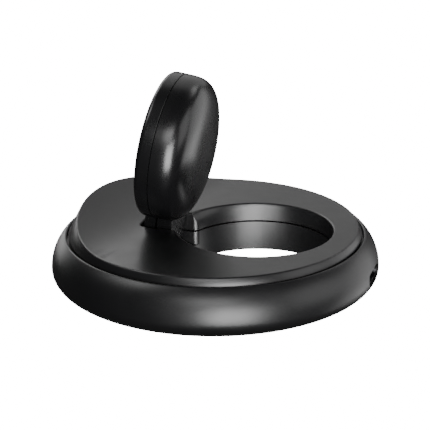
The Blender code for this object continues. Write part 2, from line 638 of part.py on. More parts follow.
def build_hinge(mats):
    for side, label in ((-1, "left"), (1, "right")):
        x0 = side * EAR_INNER_X
        x1 = side * (EAR_INNER_X + EAR_THICKNESS)
        x2 = side * (EAR_INNER_X + EAR_THICKNESS + EAR_FOOT_LENGTH)
        low = FLOOR_Z + FIT
        ear = [(HINGE_Y - BRACKET_HALF_WIDTH, low), (HINGE_Y + BRACKET_HALF_WIDTH, low)]
        ear += arc((HINGE_Y, HINGE_Z), (EAR_RADIUS, EAR_RADIUS), 0, math.pi, 10)
        bracket = piece("hinge_bracket_" + label, prism_x(ear, min(x0, x1), max(x0, x1)), mats["steel"])
        join(bracket, tool("bracket_foot_" + label,
                           box((min(x0 + side * 0.2 * MM, x2), HINGE_Y - BRACKET_HALF_WIDTH, low),
                               (max(x0 + side * 0.2 * MM, x2), HINGE_Y + BRACKET_HALF_WIDTH,
                                low + EAR_FOOT_THICKNESS))))
        cut(bracket, tool("ear_bore_" + label,
                          rod_x(AXLE_HOLE, min(x0, x1) - 1 * MM, max(x0, x1) + 1 * MM, (HINGE_Y, HINGE_Z))))
        point = bracket_screw_point(side)
        cut(bracket, tool("foot_bore_" + label, disc(BRACKET_SCREW_RADIUS + FIT, 0.0, low + 2 * MM, point, 12)))

        seat = low + EAR_FOOT_THICKNESS + FIT
        outline = [(0.0, seat + 0.9 * MM), (BRACKET_SCREW_HEAD_RADIUS - 0.3 * MM, seat + 0.9 * MM),
                   (BRACKET_SCREW_HEAD_RADIUS, seat + 0.5 * MM), (BRACKET_SCREW_HEAD_RADIUS, seat),
                   (BRACKET_SCREW_RADIUS, seat), (BRACKET_SCREW_RADIUS, low), (0.0, low)]
        piece("bracket_screw_" + label, lathe(outline, 12, point), mats["steel"])

        tip = side * AXLE_INNER_X
        flange = side * AXLE_OUTER_X
        end = side * (AXLE_OUTER_X + AXLE_FLANGE)
        bore = AXLE_BORE if side > 0 else 0.0
        outline = [(tip, bore), (tip, AXLE_RADIUS), (flange, AXLE_RADIUS), (flange, AXLE_FLANGE_RADIUS),
                   (end, AXLE_FLANGE_RADIUS), (end, bore)]
        piece("hinge_axle_" + label, spin_x(outline, SMALL_SEGMENTS, (HINGE_Y, HINGE_Z)), mats["steel"])

    run = HOLE_CLEAR_RADIUS + 1.6 * MM
    solder_z = BOARD_LOW_Z + BOARD_THICKNESS + LEAD_RADIUS + FIT
    end = math.asin((BOARD_REAR_Y + 1.5 * MM - HOLE_Y) / run)
    around = arc((0.0, HOLE_Y), (run, run), math.radians(-42), end, 5)
    heights = [HINGE_Z + 0.5 * MM] * 3 + [(HINGE_Z + solder_z) / 2, solder_z + 0.1 * MM, solder_z]
    route = [(0.1 * MM + FIT, HINGE_Y, HINGE_Z), (3.0 * MM, HINGE_Y, HINGE_Z),
             (EAR_INNER_X, HINGE_Y, HINGE_Z), (AXLE_OUTER_X + AXLE_FLANGE + 1.0 * MM, HINGE_Y, HINGE_Z),
             (AXLE_OUTER_X + 4.5 * MM, HINGE_Y + 1.8 * MM, HINGE_Z + 0.3 * MM)]
    route += [(x, y, z) for (x, y), z in zip(around, heights)]
    lead("lead_base", route, mats["lead"])


# Charging head

def neck_outline(upper):
    """Side view of one half of the neck, split at the seam plane."""
    gap = SEAM_GAP / 2 + NECK_SEAM_EXTRA
    level = SEAM_Z + gap if upper else SEAM_Z - gap
    half = (NECK_FRONT + NECK_REAR) / 2
    middle = (NECK_FRONT - NECK_REAR) / 2
    start = math.pi - math.asin((level - middle) / half)
    side = NECK_FRONT if upper else -NECK_REAR
    end = HEAD_REACH - HEAD_RADIUS + HEAD_WALL * 0.6
    stop = math.pi / 2 if upper else 3 * math.pi / 2
    return arc((0.0, middle), (half, half), start, stop, 7) + [(end, side), (end, level)]


def neck_half(upper):
    """One half of the neck, with its long outer edges rounded."""
    body = prism_x(neck_outline(upper), -NECK_HALF, NECK_HALF)
    side = NECK_FRONT if upper else -NECK_REAR
    edges = [e for e in body.edges
             if all(abs(abs(v.co.x) - NECK_HALF) < FIT / 10 for v in e.verts)
             and all(abs(v.co.z - side) < FIT / 10 for v in e.verts)]
    bmesh.ops.bevel(body, geom=edges, offset=NECK_EDGE_ROUND, segments=3, profile=0.5, affect="EDGES",
                    clamp_overlap=True)
    return body


def build_head(mats, pivot):
    centre = (0.0, HEAD_REACH)
    inner = HEAD_RADIUS - HEAD_WALL
    front_low = SEAM_Z + SEAM_GAP / 2
    rear_top = SEAM_Z - SEAM_GAP / 2

    edge = FRONT_EDGE_ROUND
    profile = [(HEAD_RADIUS, front_low)]
    profile += arc((HEAD_RADIUS - edge, FRONT_Z - edge), (edge, edge), 0, math.pi / 2, 4)
    profile += [(FACE_RADIUS + FIT, FRONT_Z), (FACE_RADIUS + FIT, FACE_POCKET_Z)]
    profile += [(WEB_INNER_RADIUS, FACE_POCKET_Z), (WEB_INNER_RADIUS, WEB_BOTTOM_Z)]
    profile += [(inner, WEB_BOTTOM_Z), (inner, front_low)]
    front = piece("head_front_shell", lathe(profile, HEAD_SEGMENTS, centre), mats["head"], pivot)

    outer = dome_profile(HEAD_RADIUS, DOME_DEPTH, SEAM_GAP / 2, 9)
    hollow = dome_profile(inner, DOME_DEPTH - HEAD_WALL, SEAM_GAP / 2, 5)
    dome = [(r, SEAM_Z - t) for r, t in outer + hollow[::-1]]
    rear = piece("head_rear_shell", lathe(dome, HEAD_SEGMENTS, centre), mats["head"], pivot)

    for shell, upper in ((front, True), (rear, False)):
        join(shell, tool("neck_front" if upper else "neck_rear", neck_half(upper), pivot))

    bosses = bmesh.new()
    for point in head_screw_points():
        disc(HEAD_BOSS_RADIUS, SEAM_Z - DOME_DEPTH + 1.12 * HEAD_WALL, rear_top - FIT, point, 14, bosses)
    join(rear, tool("head_bosses", bosses, pivot))

    pocket = rod_x(KNUCKLE_POCKET, -NECK_HALF + KNUCKLE_END_WALL, NECK_HALF - KNUCKLE_END_WALL)
    bore = rod_x(AXLE_HOLE, -2 * NECK_HALF, 2 * NECK_HALF)
    half = LEAD_CHANNEL_HALF
    channel = box((-half, 0.0, -half), (half, HEAD_REACH - WEB_INNER_RADIUS - 1.0 * MM, half))
    knuckle_tools = (tool("knuckle_pocket", pocket, pivot), tool("knuckle_bore", bore, pivot),
                     tool("lead_channel", channel, pivot))
    cut(front, *knuckle_tools)
    cut(rear, *knuckle_tools)

    pilots = bmesh.new()
    counter = bmesh.new()
    seat = FACE_POCKET_Z - HEAD_SCREW_HEAD - FIT
    for point in head_screw_points():
        disc(HEAD_SCREW_RADIUS + FIT, seat + FIT - HEAD_SCREW_LENGTH - 2 * FIT, SEAM_Z + 1.0 * MM, point, 12, pilots)
        outline = [(0.0, 0.0), (HEAD_SCREW_RADIUS + FIT, 0.0), (HEAD_SCREW_RADIUS + FIT, seat),
                   (HEAD_SCREW_HEAD_RADIUS + FIT, seat), (HEAD_SCREW_HEAD_RADIUS + FIT, FRONT_Z), (0.0, FRONT_Z)]
        lathe(outline, 14, point, counter)
    cut(rear, tool("head_pilots", pilots, pivot))
    cut(front, tool("head_counterbores", counter, pivot))

    low = FACE_POCKET_Z + FIT
    high = FRONT_Z - FACE_RECESS
    sphere = (FACE_RADIUS ** 2 + FACE_DISH ** 2) / (2 * FACE_DISH)
    sweep = math.asin((FACE_RADIUS - 0.3 * MM) / sphere)
    lens = [(0.0, low), (FACE_RADIUS, low), (FACE_RADIUS, high - 0.3 * MM)]
    lens += [(x, high - FACE_DISH + z) for x, z in
             arc((0.0, sphere), (sphere, sphere), -math.pi / 2 + sweep, -math.pi / 2, 3)]
    lens[-1] = (0.0, high - FACE_DISH)
    piece("charging_face", lathe(lens, HEAD_SEGMENTS, centre), mats["face"], pivot)

    coil_top = low - FIT
    coil_low = coil_top - COIL_THICKNESS
    coil_outer = WEB_INNER_RADIUS - 2 * FIT
    r = COIL_THICKNESS / 2
    coil = arc((coil_outer - r, coil_low + r), (r, r), -math.pi / 2, math.pi / 2, 3)
    coil += arc((COIL_INNER + r, coil_low + r), (r, r), math.pi / 2, 3 * math.pi / 2, 3)
    piece("charging_coil", lathe(coil, 28, centre), mats["copper"], pivot)
    piece("alignment_magnet", disc(MAGNET_RADIUS, coil_low, coil_top, centre, 24), mats["magnet"], pivot)
    ferrite_top = coil_low - FIT
    piece("ferrite_disc", disc(coil_outer, ferrite_top - FERRITE_THICKNESS, ferrite_top, centre, 40),
          mats["ferrite"], pivot)
    board_top = ferrite_top - FERRITE_THICKNESS - HEAD_BOARD_DROP
    board_radius = coil_outer - FIT
    piece("head_board", disc(board_radius, board_top - HEAD_BOARD_THICKNESS, board_top, centre, 40),
          mats["board"], pivot)

    for number, point in enumerate(head_screw_points(), 1):
        base = seat + FIT
        outline = [(0.0, base + HEAD_SCREW_HEAD - 0.1 * MM), (HEAD_SCREW_HEAD_RADIUS, base + HEAD_SCREW_HEAD - 0.1 * MM),
                   (HEAD_SCREW_HEAD_RADIUS, base), (HEAD_SCREW_RADIUS, base),
                   (HEAD_SCREW_RADIUS, base - HEAD_SCREW_LENGTH), (0.0, base - HEAD_SCREW_LENGTH - 0.2 * MM)]
        piece("head_screw_%d" % number, lathe(outline, 12, point), mats["steel"], pivot)

    gap = CLIP_OPENING / 2
    clip_inner = AXLE_RADIUS + FIT
    clip_outer = clip_inner + CLIP_THICKNESS
    ring = arc((0.0, 0.0), (clip_outer, clip_outer), math.pi / 2 + gap, 5 * math.pi / 2 - gap, 16)
    ring += arc((0.0, 0.0), (clip_inner, clip_inner), 5 * math.pi / 2 - gap, math.pi / 2 + gap, 16)
    for side, label in ((-1, "left"), (1, "right")):
        near = side * (NECK_HALF - KNUCKLE_END_WALL - FIT)
        far = near - side * CLIP_WIDTH
        piece("friction_clip_" + label, prism_x(ring, min(near, far), max(near, far)), mats["steel"], pivot)

    level = board_top - HEAD_BOARD_THICKNESS / 2
    end = HEAD_REACH - board_radius - FIT
    turn = -0.55 * MM
    route = [(0.1 * MM, 0.0, 0.0), (-0.2 * MM, 0.0, 0.0), (0.85 * turn, 0.3 * MM, 0.0),
             (turn, 0.9 * MM, 0.0), (turn, end / 2, level / 2), (turn, end - 2 * MM, level), (turn, end, level)]
    lead("lead_head", route, mats["lead"], pivot)


def main():
    for obj in list(bpy.data.objects):
        bpy.data.objects.remove(obj, do_unlink=True)
    mats = {
        "base": make_material("satin_black_base", (0.020, 0.020, 0.021), 0.42),
        "cover": make_material("satin_black_cover", (0.022, 0.022, 0.023), 0.38),
        "head": make_material("satin_black_head", (0.018, 0.018, 0.019), 0.36),
        "face": make_material("charging_face_black", (0.012, 0.012, 0.013), 0.25),
        "silicone": make_material("silicone_dark", (0.03, 0.03, 0.03), 0.8),
        "steel": make_material("steel", (0.56, 0.55, 0.53), 0.32, 1.0),
        "copper": make_material("copper_coil", (0.72, 0.36, 0.18), 0.35, 1.0),
        "ferrite": make_material("ferrite_grey", (0.06, 0.06, 0.065), 0.7),
        "magnet": make_material("nickel_magnet", (0.62, 0.6, 0.57), 0.25, 1.0),
        "board": make_material("board_green", (0.02, 0.12, 0.05), 0.45),
        "lead": make_material("lead_black", (0.02, 0.02, 0.02), 0.5),
    }
    pivot = bpy.data.objects.new("head_pivot", None)
    bpy.context.scene.collection.objects.link(pivot)
    pivot.location = (0.0, HINGE_Y, HINGE_Z)
    pivot.rotation_euler = (OPEN_ANGLE, 0.0, 0.0)

    build_lower_housing(mats["base"])
    build_top_cover(mats["cover"])
    build_base_parts(mats)
    build_hinge(mats)
    build_head(mats, pivot)
    bpy.context.view_layer.update()


main()
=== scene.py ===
"""Folding charging dock for a smartwatch: its finished look.

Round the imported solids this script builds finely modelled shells, gives every
surface its own procedural finish, and sets up a soft studio with a camera.
It is laid out as an add-on and is run as a script. Everything is in metres,
+Z is up and the origin is the centre of the base on the table. +Y runs from
the hinge to the power port, and the hinge axis lies along X.
"""

import math

import bmesh
import bpy
from bpy.props import FloatProperty, FloatVectorProperty, IntProperty, PointerProperty
from mathutils import Matrix, Vector


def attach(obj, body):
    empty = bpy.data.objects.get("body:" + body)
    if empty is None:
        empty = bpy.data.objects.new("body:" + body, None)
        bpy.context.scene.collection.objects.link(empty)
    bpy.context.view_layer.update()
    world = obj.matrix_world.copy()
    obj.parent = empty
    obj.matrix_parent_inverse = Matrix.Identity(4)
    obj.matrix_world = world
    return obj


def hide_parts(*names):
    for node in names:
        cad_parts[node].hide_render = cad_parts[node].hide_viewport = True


bl_info = {
    "name": "Smartwatch Charging Dock",
    "version": (1, 0, 0),
    "blender": (4, 5, 0),
    "location": "3D View > Sidebar > Dock",
    "description": "Builds a folding charging dock for a smartwatch and a studio for it",
    "category": "Object",
}

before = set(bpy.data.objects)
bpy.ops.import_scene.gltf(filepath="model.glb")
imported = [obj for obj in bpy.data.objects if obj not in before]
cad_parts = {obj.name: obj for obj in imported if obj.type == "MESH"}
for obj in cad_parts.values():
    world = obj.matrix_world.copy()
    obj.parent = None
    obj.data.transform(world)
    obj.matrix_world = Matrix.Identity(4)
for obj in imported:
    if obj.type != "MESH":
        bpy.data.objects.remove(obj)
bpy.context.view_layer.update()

MM = 0.001


def linear(code):
    """An sRGB hex colour as linear red, green and blue."""
    parts = [int(code[i:i + 2], 16) / 255 for i in (0, 2, 4)]
    return tuple(p / 12.92 if p <= 0.04045 else ((p + 0.055) / 1.055) ** 2.4 for p in parts)


def length(name, description, millimetres):
    """A length setting with its default in millimetres."""
    return FloatProperty(name=name, description=description, default=millimetres * MM, min=0.0,
                         unit="LENGTH", precision=5)


def colour(name, description, code):
    """A colour setting with its default as an sRGB hex value."""
    return FloatVectorProperty(name=name, description=description, default=linear(code), size=3,
                               min=0.0, max=1.0, subtype="COLOR")


# Settings

class DockBaseSettings(bpy.types.PropertyGroup):
    """Sizes of the round base and its cover"""
    radius: length("Radius", "Radius of the base at its widest", 39.0)
    widest: length("Widest height", "Height at which the ring is widest", 4.65)
    lower_in: length("Lower curve", "How far the ring draws in below its widest height", 5.0)
    upper_in: length("Upper curve", "How far the ring's upper curve would draw in", 8.5)
    upper_rise: length("Upper rise", "Height of the ring's upper curve", 9.6)
    bottom: length("Bottom", "Height of the ring's lower edge above the table", 0.5)
    lip_inset: length("Lip inset", "From the base's radius in to the ring's lip", 3.2)
    lip_roll: length("Lip roll", "Radius of the rolled lip", 0.4)
    wall: length("Ring wall", "From the base's radius in to the cavity", 5.4)
    cover_top: length("Cover height", "Height of the cover's level part", 14.0)
    cover_edge: length("Cover edge round", "Reach of the round along the cover's outer edge", 0.34)
    rim_round: length("Rim round", "Radius of the round along the opening's rim", 0.42)
    segments: IntProperty(name="Segments", description="Steps round the base", default=176, min=24)


class DockOpeningSettings(bpy.types.PropertyGroup):
    """Sizes of the opening and the slot for the neck"""
    radius: length("Radius", "Radius of the opening", 17.95)
    forward: length("Offset", "From the base's centre to the opening's centre", 10.4)
    slot_half: length("Slot half width", "Half the width of the slot", 6.1)
    slot_back: length("Slot depth", "From the base's centre back to the slot's end", 16.9)
    slot_corner: length("Slot corner", "Radius of the slot's inner corners", 1.2)
    fillet: length("Junction fillet", "Radius where the slot meets the opening", 1.5)
    flare: length("Flare", "Round at the bottom edge of the opening", 0.4)


class DockHeadSettings(bpy.types.PropertyGroup):
    """Sizes of the charging head and its hinge"""
    radius: length("Radius", "Radius of the charging head", 17.4)
    reach: length("Reach", "From the hinge axis to the head's centre", 22.8)
    dome: length("Dome depth", "Depth of the domed back below the seam", 8.4)
    front: length("Front thickness", "Thickness of the front shell", 3.6)
    seam: length("Seam height", "Height of the seam over the hinge axis, head folded", 1.2)
    face: length("Face radius", "Radius of the charging face", 13.8)
    hinge_back: length("Hinge offset", "From the base's centre back to the hinge axis", 12.4)
    hinge_height: length("Hinge height", "Height of the hinge axis", 9.9)
    open_angle: FloatProperty(name="Open angle", description="How far the head stands open",
                              default=math.radians(82.0), subtype="ANGLE")
    segments: IntProperty(name="Segments", description="Steps round the head", default=144, min=24)


class DockFinishSettings(bpy.types.PropertyGroup):
    """Colours of the dock's finishes"""
    ring: colour("Ring", "Moulded plastic of the lower ring", "0D0D0E")
    deck: colour("Deck", "Moulded plastic of the cover", "0E0E0F")
    head: colour("Head", "Moulded plastic of the charging head", "0D0D0E")
    face: colour("Face", "Polished plastic of the charging face", "0E0E10")
    silicone: colour("Foot", "Silicone of the foot ring", "2A2A2B")
    steel: colour("Steel", "Nickel-plated steel", "BEBBB6")
    copper: colour("Copper", "Enamelled copper wire", "C9753F")
    board: colour("Board", "Solder mask of the boards", "14432B")
    port: colour("Port shell", "Black nickel on the drawn steel of the port's shell", "2C2C2E")
    gold: colour("Contacts", "Gold plate of the port's contacts", "E0B45A")
    nylon: colour("Tongue", "Moulded nylon of the port's tongue", "151515")
    ferrite: colour("Ferrite", "Sintered ferrite behind the coil", "3A3A3D")
    magnet: colour("Magnet", "Nickel plate of the magnet", "C8C4BC")
    rubber: colour("Leads", "Rubber of the inner leads", "202021")


class DockStudioSettings(bpy.types.PropertyGroup):
    """Camera and lights"""
    lens: FloatProperty(name="Lens", description="Focal length of the camera on a 36 mm sensor", default=151.6,
                        min=10.0)
    distance: length("Distance", "From the camera to the point it looks at", 429.0)
    roll: FloatProperty(name="Roll", description="Clockwise roll of the camera", default=math.radians(0.377),
                        subtype="ANGLE")
    key: FloatProperty(name="Softboxes", description="Strength that all the softboxes go by", default=1.1, min=0.0)
    fill: FloatProperty(name="Room light", description="Strength of the even light of the room", default=0.03,
                        min=0.0)


def base():
    """Settings of the base."""
    return bpy.context.scene.dock_base


def opening():
    """Settings of the opening."""
    return bpy.context.scene.dock_opening


def head():
    """Settings of the charging head."""
    return bpy.context.scene.dock_head


# Modelling helpers

# Points nearer than WELD are made one, and edges that turn by more than SHARP are left sharp.
WELD = 0.002 * MM
SHARP = math.radians(32.0)


def arc(centre, radii, start, end, steps):
    """Points of an elliptic arc from one angle to another, both ends included."""
    points = []
    for i in range(steps + 1):
        a = start + (end - start) * i / steps
        points.append((centre[0] + radii[0] * math.cos(a), centre[1] + radii[1] * math.sin(a)))
    return points


def draft(name, bm):
    """A plain object made of a bmesh, its doubles merged and its faces turned out, not yet a piece."""
    bmesh.ops.remove_doubles(bm, verts=bm.verts, dist=WELD)
    bmesh.ops.recalc_face_normals(bm, faces=bm.faces)
    mesh = bpy.data.meshes.new(name)
    bm.to_mesh(mesh)
    bm.free()
    obj = bpy.data.objects.new(name, mesh)
    bpy.context.scene.collection.objects.link(obj)
    return obj


def dress(obj, material, body, replaced=()):
    """Make an object a piece: give it its shading, finish, body and material slot."""
    obj.data.materials.clear()
    obj.data.materials.append(material)
    obj.data.shade_smooth()
    obj.data.set_sharp_from_angle(angle=SHARP)
    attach(obj, body)
    if replaced:
        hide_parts(*replaced)


def shape(obj, *steps):
    """Join tools to an object or cut them from it, in order, and drop the tools."""
    for operation, tool in steps:
        modifier = obj.modifiers.new(tool.name, "BOOLEAN")
        modifier.operation = operation
        modifier.object = tool
        modifier.solver = "EXACT"
    bpy.context.view_layer.update()
    ready = obj.evaluated_get(bpy.context.evaluated_depsgraph_get())
    mesh = bpy.data.meshes.new_from_object(ready)
    obj.modifiers.clear()
    obj.data = mesh
    for _, tool in steps:
        bpy.data.objects.remove(tool, do_unlink=True)


def turned(profile, segments, centre=(0.0, 0.0), bm=None):
    """Spin a closed profile of (radius, z) once about a vertical axis."""
    bm = bm or bmesh.new()
    verts = [bm.verts.new((centre[0] + r, centre[1], z)) for r, z in profile]
    edges = [bm.edges.new((verts[i - 1], verts[i])) for i in range(len(verts))]
    bmesh.ops.spin(bm, geom=verts + edges, cent=(*centre, 0.0), axis=(0, 0, 1), angle=2 * math.pi,
                   steps=segments, use_merge=True)
    bmesh.ops.remove_doubles(bm, verts=bm.verts, dist=WELD)
    loose = [e for e in bm.edges if not e.link_faces]
    bmesh.ops.delete(bm, geom=loose, context="EDGES")
    return bm


def raised(outline, lift, bm=None):
    """Extrude a closed outline of points by a vector."""
    bm = bm or bmesh.new()
    face = bm.faces.new([bm.verts.new(p) for p in outline])
    grown = bmesh.ops.extrude_face_region(bm, geom=[face])
    moved = [v for v in grown["geom"] if isinstance(v, bmesh.types.BMVert)]
    bmesh.ops.translate(bm, verts=moved, vec=lift)
    return bm


def slab(outline, low, high, bm=None):
    """A level outline of (x, y) raised between two heights."""
    return raised([(x, y, low) for x, y in outline], (0.0, 0.0, high - low), bm)


def block(low, high, bm=None):
    """A box between two opposite corners."""
    return slab([(low[0], low[1]), (high[0], low[1]), (high[0], high[1]), (low[0], high[1])], low[2], high[2], bm)


def puck(radius, low, high, centre, segments, bm):
    """Add an upright cylinder between two heights."""
    place = Matrix.Translation((*centre, (low + high) / 2))
    bmesh.ops.create_cone(bm, cap_ends=True, segments=segments, radius1=radius, radius2=radius, depth=high - low,
                          matrix=place)


def rod(radius, low, high):
    """A cylinder round the X axis between two places on it."""
    bm = bmesh.new()
    place = Matrix.Translation(((low + high) / 2, 0.0, 0.0)) @ Matrix.Rotation(math.pi / 2, 4, "Y")
    bmesh.ops.create_cone(bm, cap_ends=True, segments=32, radius1=radius, radius2=radius, depth=high - low,
                          matrix=place)
    return bm


def opening_loop(offset):
    """Plan of the opening and its slot, moved outwards by an offset under the fillet's radius."""
    o = opening()
    hole = o.radius + offset
    half = o.slot_half + offset
    corner = o.slot_corner + offset
    fillet = max(o.fillet - offset, 0.02 * MM)
    joint_y = o.forward - math.sqrt((hole + fillet) ** 2 - (half + fillet) ** 2)
    turn = math.atan2(joint_y - o.forward, half + fillet)
    back = -o.slot_back - offset
    right = arc((half - corner, back + corner), (corner, corner), -math.pi / 2, 0, 8)
    right += arc((half + fillet, joint_y), (fillet, fillet), math.pi, math.pi + turn, 8)[:-1]
    right += arc((0.0, o.forward), (hole, hole), turn, math.pi / 2, 60)
    left = [(-x, y) for x, y in reversed(right[:-1])]
    return right + left


def filled_in(loop, longest):
    """A closed loop with points added wherever two are further apart than the longest step."""
    points = []
    for (x0, y0), (x1, y1) in zip(loop, loop[1:] + loop[:1]):
        count = max(math.ceil(math.hypot(x1 - x0, y1 - y0) / longest), 1)
        points += [(x0 + (x1 - x0) * i / count, y0 + (y1 - y0) * i / count) for i in range(count)]
    return points


# Behind the hinge the deck rises like the wall of a cylinder, along a line turned a little from straight back.
SCOOP_RADIUS = 45.0 * MM
SCOOP_TURN = math.radians(11.4)
SCOOP_LINE = Vector((-math.sin(SCOOP_TURN), -math.cos(SCOOP_TURN)))
SCOOP_LEAD = 0.6 * MM


def scoop_start():
    """Distance along the scoop's line from the base's centre to where the deck starts to rise."""
    return head().hinge_back * math.cos(SCOOP_TURN) - SCOOP_LEAD


def deck_rise(x, y):
    """How much the cover stands higher at a point than in its level part."""
    s = max(x * SCOOP_LINE.x + y * SCOOP_LINE.y - scoop_start(), 0.0)
    return SCOOP_RADIUS - math.sqrt(SCOOP_RADIUS ** 2 - s * s)


def ring_surface(z):
    """Radius of the ring's outside at a height."""
    b = base()
    if z >= b.widest:
        return b.radius - b.upper_in + b.upper_in * math.sqrt(1 - ((z - b.widest) / b.upper_rise) ** 2)
    return b.radius - b.lower_in + b.lower_in * math.sqrt(1 - ((b.widest - z) / (b.widest - b.bottom)) ** 2)


# The circle that the housing screws stand on, and their angles on it in degrees.
SCREW_CIRCLE = 28.6 * MM
SCREW_ANGLES = (24.0, 156.0, 218.0, 322.0)


def screw_places():
    """Where the housing screws stand, as (x, y)."""
    return [(SCREW_CIRCLE * math.cos(math.radians(a)), SCREW_CIRCLE * math.sin(math.radians(a)))
            for a in SCREW_ANGLES]


# Finishes

def add(tree, kind, settings=None, links=None):
    """Add a node, set its sockets and options, and link its inputs."""
    node = tree.nodes.new(kind)
    for key, value in (settings or {}).items():
        if isinstance(key, int) or key in node.inputs:
            node.inputs[key].default_value = value
        else:
            setattr(node, key, value)
    for key, source in (links or {}).items():
        tree.links.new(source, node.inputs[key])
    return node


def started(name, colour_value, roughness, **shader_settings):
    """A new material with its shader and its object coordinates."""
    material = bpy.data.materials.new(name)
    material.use_nodes = True
    tree = material.node_tree
    tree.nodes.clear()
    settings = {"Base Color": (*colour_value, 1.0), "Roughness": roughness, **shader_settings}
    shader = add(tree, "ShaderNodeBsdfPrincipled", settings)
    add(tree, "ShaderNodeOutputMaterial", links={"Surface": shader.outputs["BSDF"]})
    place = add(tree, "ShaderNodeTexCoord")
    return material, tree, shader, place.outputs["Object"]


def moulded_plastic(name, colour_value, roughness, grain_mm=0.45, depth_mm=0.010):
    """Injection-moulded ABS or nylon from a spark-eroded tool.

    The eroded steel leaves a fine matt grain, so highlights are soft. The real
    grain is about 0.1 mm and is drawn coarser, because it would be lost here.
    The plastic is evenly coloured, with faint flow and touch marks in the gloss.
    """
    material, tree, shader, place = started(name, colour_value, roughness, IOR=1.53)
    grain = add(tree, "ShaderNodeTexNoise", {"Scale": 1.0 / (grain_mm * MM), "Detail": 3.0, "Roughness": 0.6},
                {"Vector": place})
    bump = add(tree, "ShaderNodeBump", {"Strength": 0.22, "Distance": depth_mm * MM},
               {"Height": grain.outputs["Fac"]})
    tree.links.new(bump.outputs["Normal"], shader.inputs["Normal"])
    cloud = add(tree, "ShaderNodeTexNoise", {"Scale": 1.0 / (9.0 * MM), "Detail": 4.0, "Roughness": 0.55},
                {"Vector": place})
    gloss = add(tree, "ShaderNodeMapRange", {"From Min": 0.3, "From Max": 0.7, "To Min": roughness - 0.025,
                                             "To Max": roughness + 0.03}, {"Value": cloud.outputs["Fac"]})
    tree.links.new(gloss.outputs["Result"], shader.inputs["Roughness"])
    tone = add(tree, "ShaderNodeMapRange", {"From Min": 0.3, "From Max": 0.7, "To Min": 0.94, "To Max": 1.06},
               {"Value": grain.outputs["Fac"]})
    shade = add(tree, "ShaderNodeVectorMath", {"operation": "SCALE", "Vector": colour_value},
                {"Scale": tone.outputs["Result"]})
    tree.links.new(shade.outputs["Vector"], shader.inputs["Base Color"])
    return material


def polished_plastic(name, colour_value, roughness=0.12):
    """Polished polycarbonate: sharp reflections with the faint waviness of a moulded skin and fine wipe marks."""
    material, tree, shader, place = started(name, colour_value, roughness, IOR=1.58)
    wave = add(tree, "ShaderNodeTexNoise", {"Scale": 1.0 / (5.0 * MM), "Detail": 1.0}, {"Vector": place})
    bump = add(tree, "ShaderNodeBump", {"Strength": 0.1, "Distance": 0.01 * MM}, {"Height": wave.outputs["Fac"]})
    tree.links.new(bump.outputs["Normal"], shader.inputs["Normal"])
    wipe = add(tree, "ShaderNodeTexNoise", {"Scale": 1.0 / (1.2 * MM), "Detail": 5.0, "Distortion": 1.5},
               {"Vector": place})
    gloss = add(tree, "ShaderNodeMapRange", {"From Min": 0.35, "From Max": 0.75, "To Min": roughness,
                                             "To Max": roughness + 0.08}, {"Value": wipe.outputs["Fac"]})
    tree.links.new(gloss.outputs["Result"], shader.inputs["Roughness"])
    return material


def moulded_silicone(name, colour_value):
    """Compression-moulded silicone or rubber: matt and slightly velvety, with dust-fine mottling drawn coarser."""
    material, tree, shader, place = started(name, colour_value, 0.78, IOR=1.41,
                                            **{"Sheen Weight": 0.15, "Sheen Roughness": 0.5})
    mottle = add(tree, "ShaderNodeTexNoise", {"Scale": 1.0 / (0.35 * MM), "Detail": 3.0}, {"Vector": place})
    bump = add(tree, "ShaderNodeBump", {"Strength": 0.3, "Distance": 0.02 * MM}, {"Height": mottle.outputs["Fac"]})
    tree.links.new(bump.outputs["Normal"], shader.inputs["Normal"])
    tone = add(tree, "ShaderNodeMapRange", {"From Min": 0.3, "From Max": 0.7, "To Min": 0.85, "To Max": 1.2},
               {"Value": mottle.outputs["Fac"]})
    shade = add(tree, "ShaderNodeVectorMath", {"operation": "SCALE", "Vector": colour_value},
                {"Scale": tone.outputs["Result"]})
    tree.links.new(shade.outputs["Vector"], shader.inputs["Base Color"])
    return material


def plated_steel(name, colour_value, roughness=0.26, grain_mm=(0.25, 0.25, 0.25)):
    """Plated metal: a bright skin over the drawn, stamped or tumbled grain of the metal below."""
    material, tree, shader, place = started(name, colour_value, roughness, Metallic=1.0)
    stretch = add(tree, "ShaderNodeMapping", {"Scale": tuple(1.0 / (g * MM) for g in grain_mm)}, {"Vector": place})
    grain = add(tree, "ShaderNodeTexNoise", {"Scale": 1.0, "Detail": 3.0}, {"Vector": stretch.outputs["Vector"]})
    gloss = add(tree, "ShaderNodeMapRange", {"From Min": 0.3, "From Max": 0.7, "To Min": roughness - 0.06,
                                             "To Max": roughness + 0.12}, {"Value": grain.outputs["Fac"]})
    tree.links.new(gloss.outputs["Result"], shader.inputs["Roughness"])
    bump = add(tree, "ShaderNodeBump", {"Strength": 0.15, "Distance": 0.01 * MM}, {"Height": grain.outputs["Fac"]})
    tree.links.new(bump.outputs["Normal"], shader.inputs["Normal"])
    return material


def wound_copper(name, colour_value):
    """Enamelled copper wire wound flat: warm and lacquered, with an uneven grain for its fine turns."""
    material, tree, shader, place = started(name, colour_value, 0.3, Metallic=1.0)
    turns = add(tree, "ShaderNodeTexNoise", {"Scale": 1.0 / (0.5 * MM), "Detail": 2.0}, {"Vector": place})
    bump = add(tree, "ShaderNodeBump", {"Strength": 0.5, "Distance": 0.05 * MM}, {"Height": turns.outputs["Fac"]})
    tree.links.new(bump.outputs["Normal"], shader.inputs["Normal"])
    tone = add(tree, "ShaderNodeMapRange", {"From Min": 0.3, "From Max": 0.7, "To Min": 0.7, "To Max": 1.1},
               {"Value": turns.outputs["Fac"]})
    shade = add(tree, "ShaderNodeVectorMath", {"operation": "SCALE", "Vector": colour_value},
                {"Scale": tone.outputs["Result"]})
    tree.links.new(shade.outputs["Vector"], shader.inputs["Base Color"])
    return material


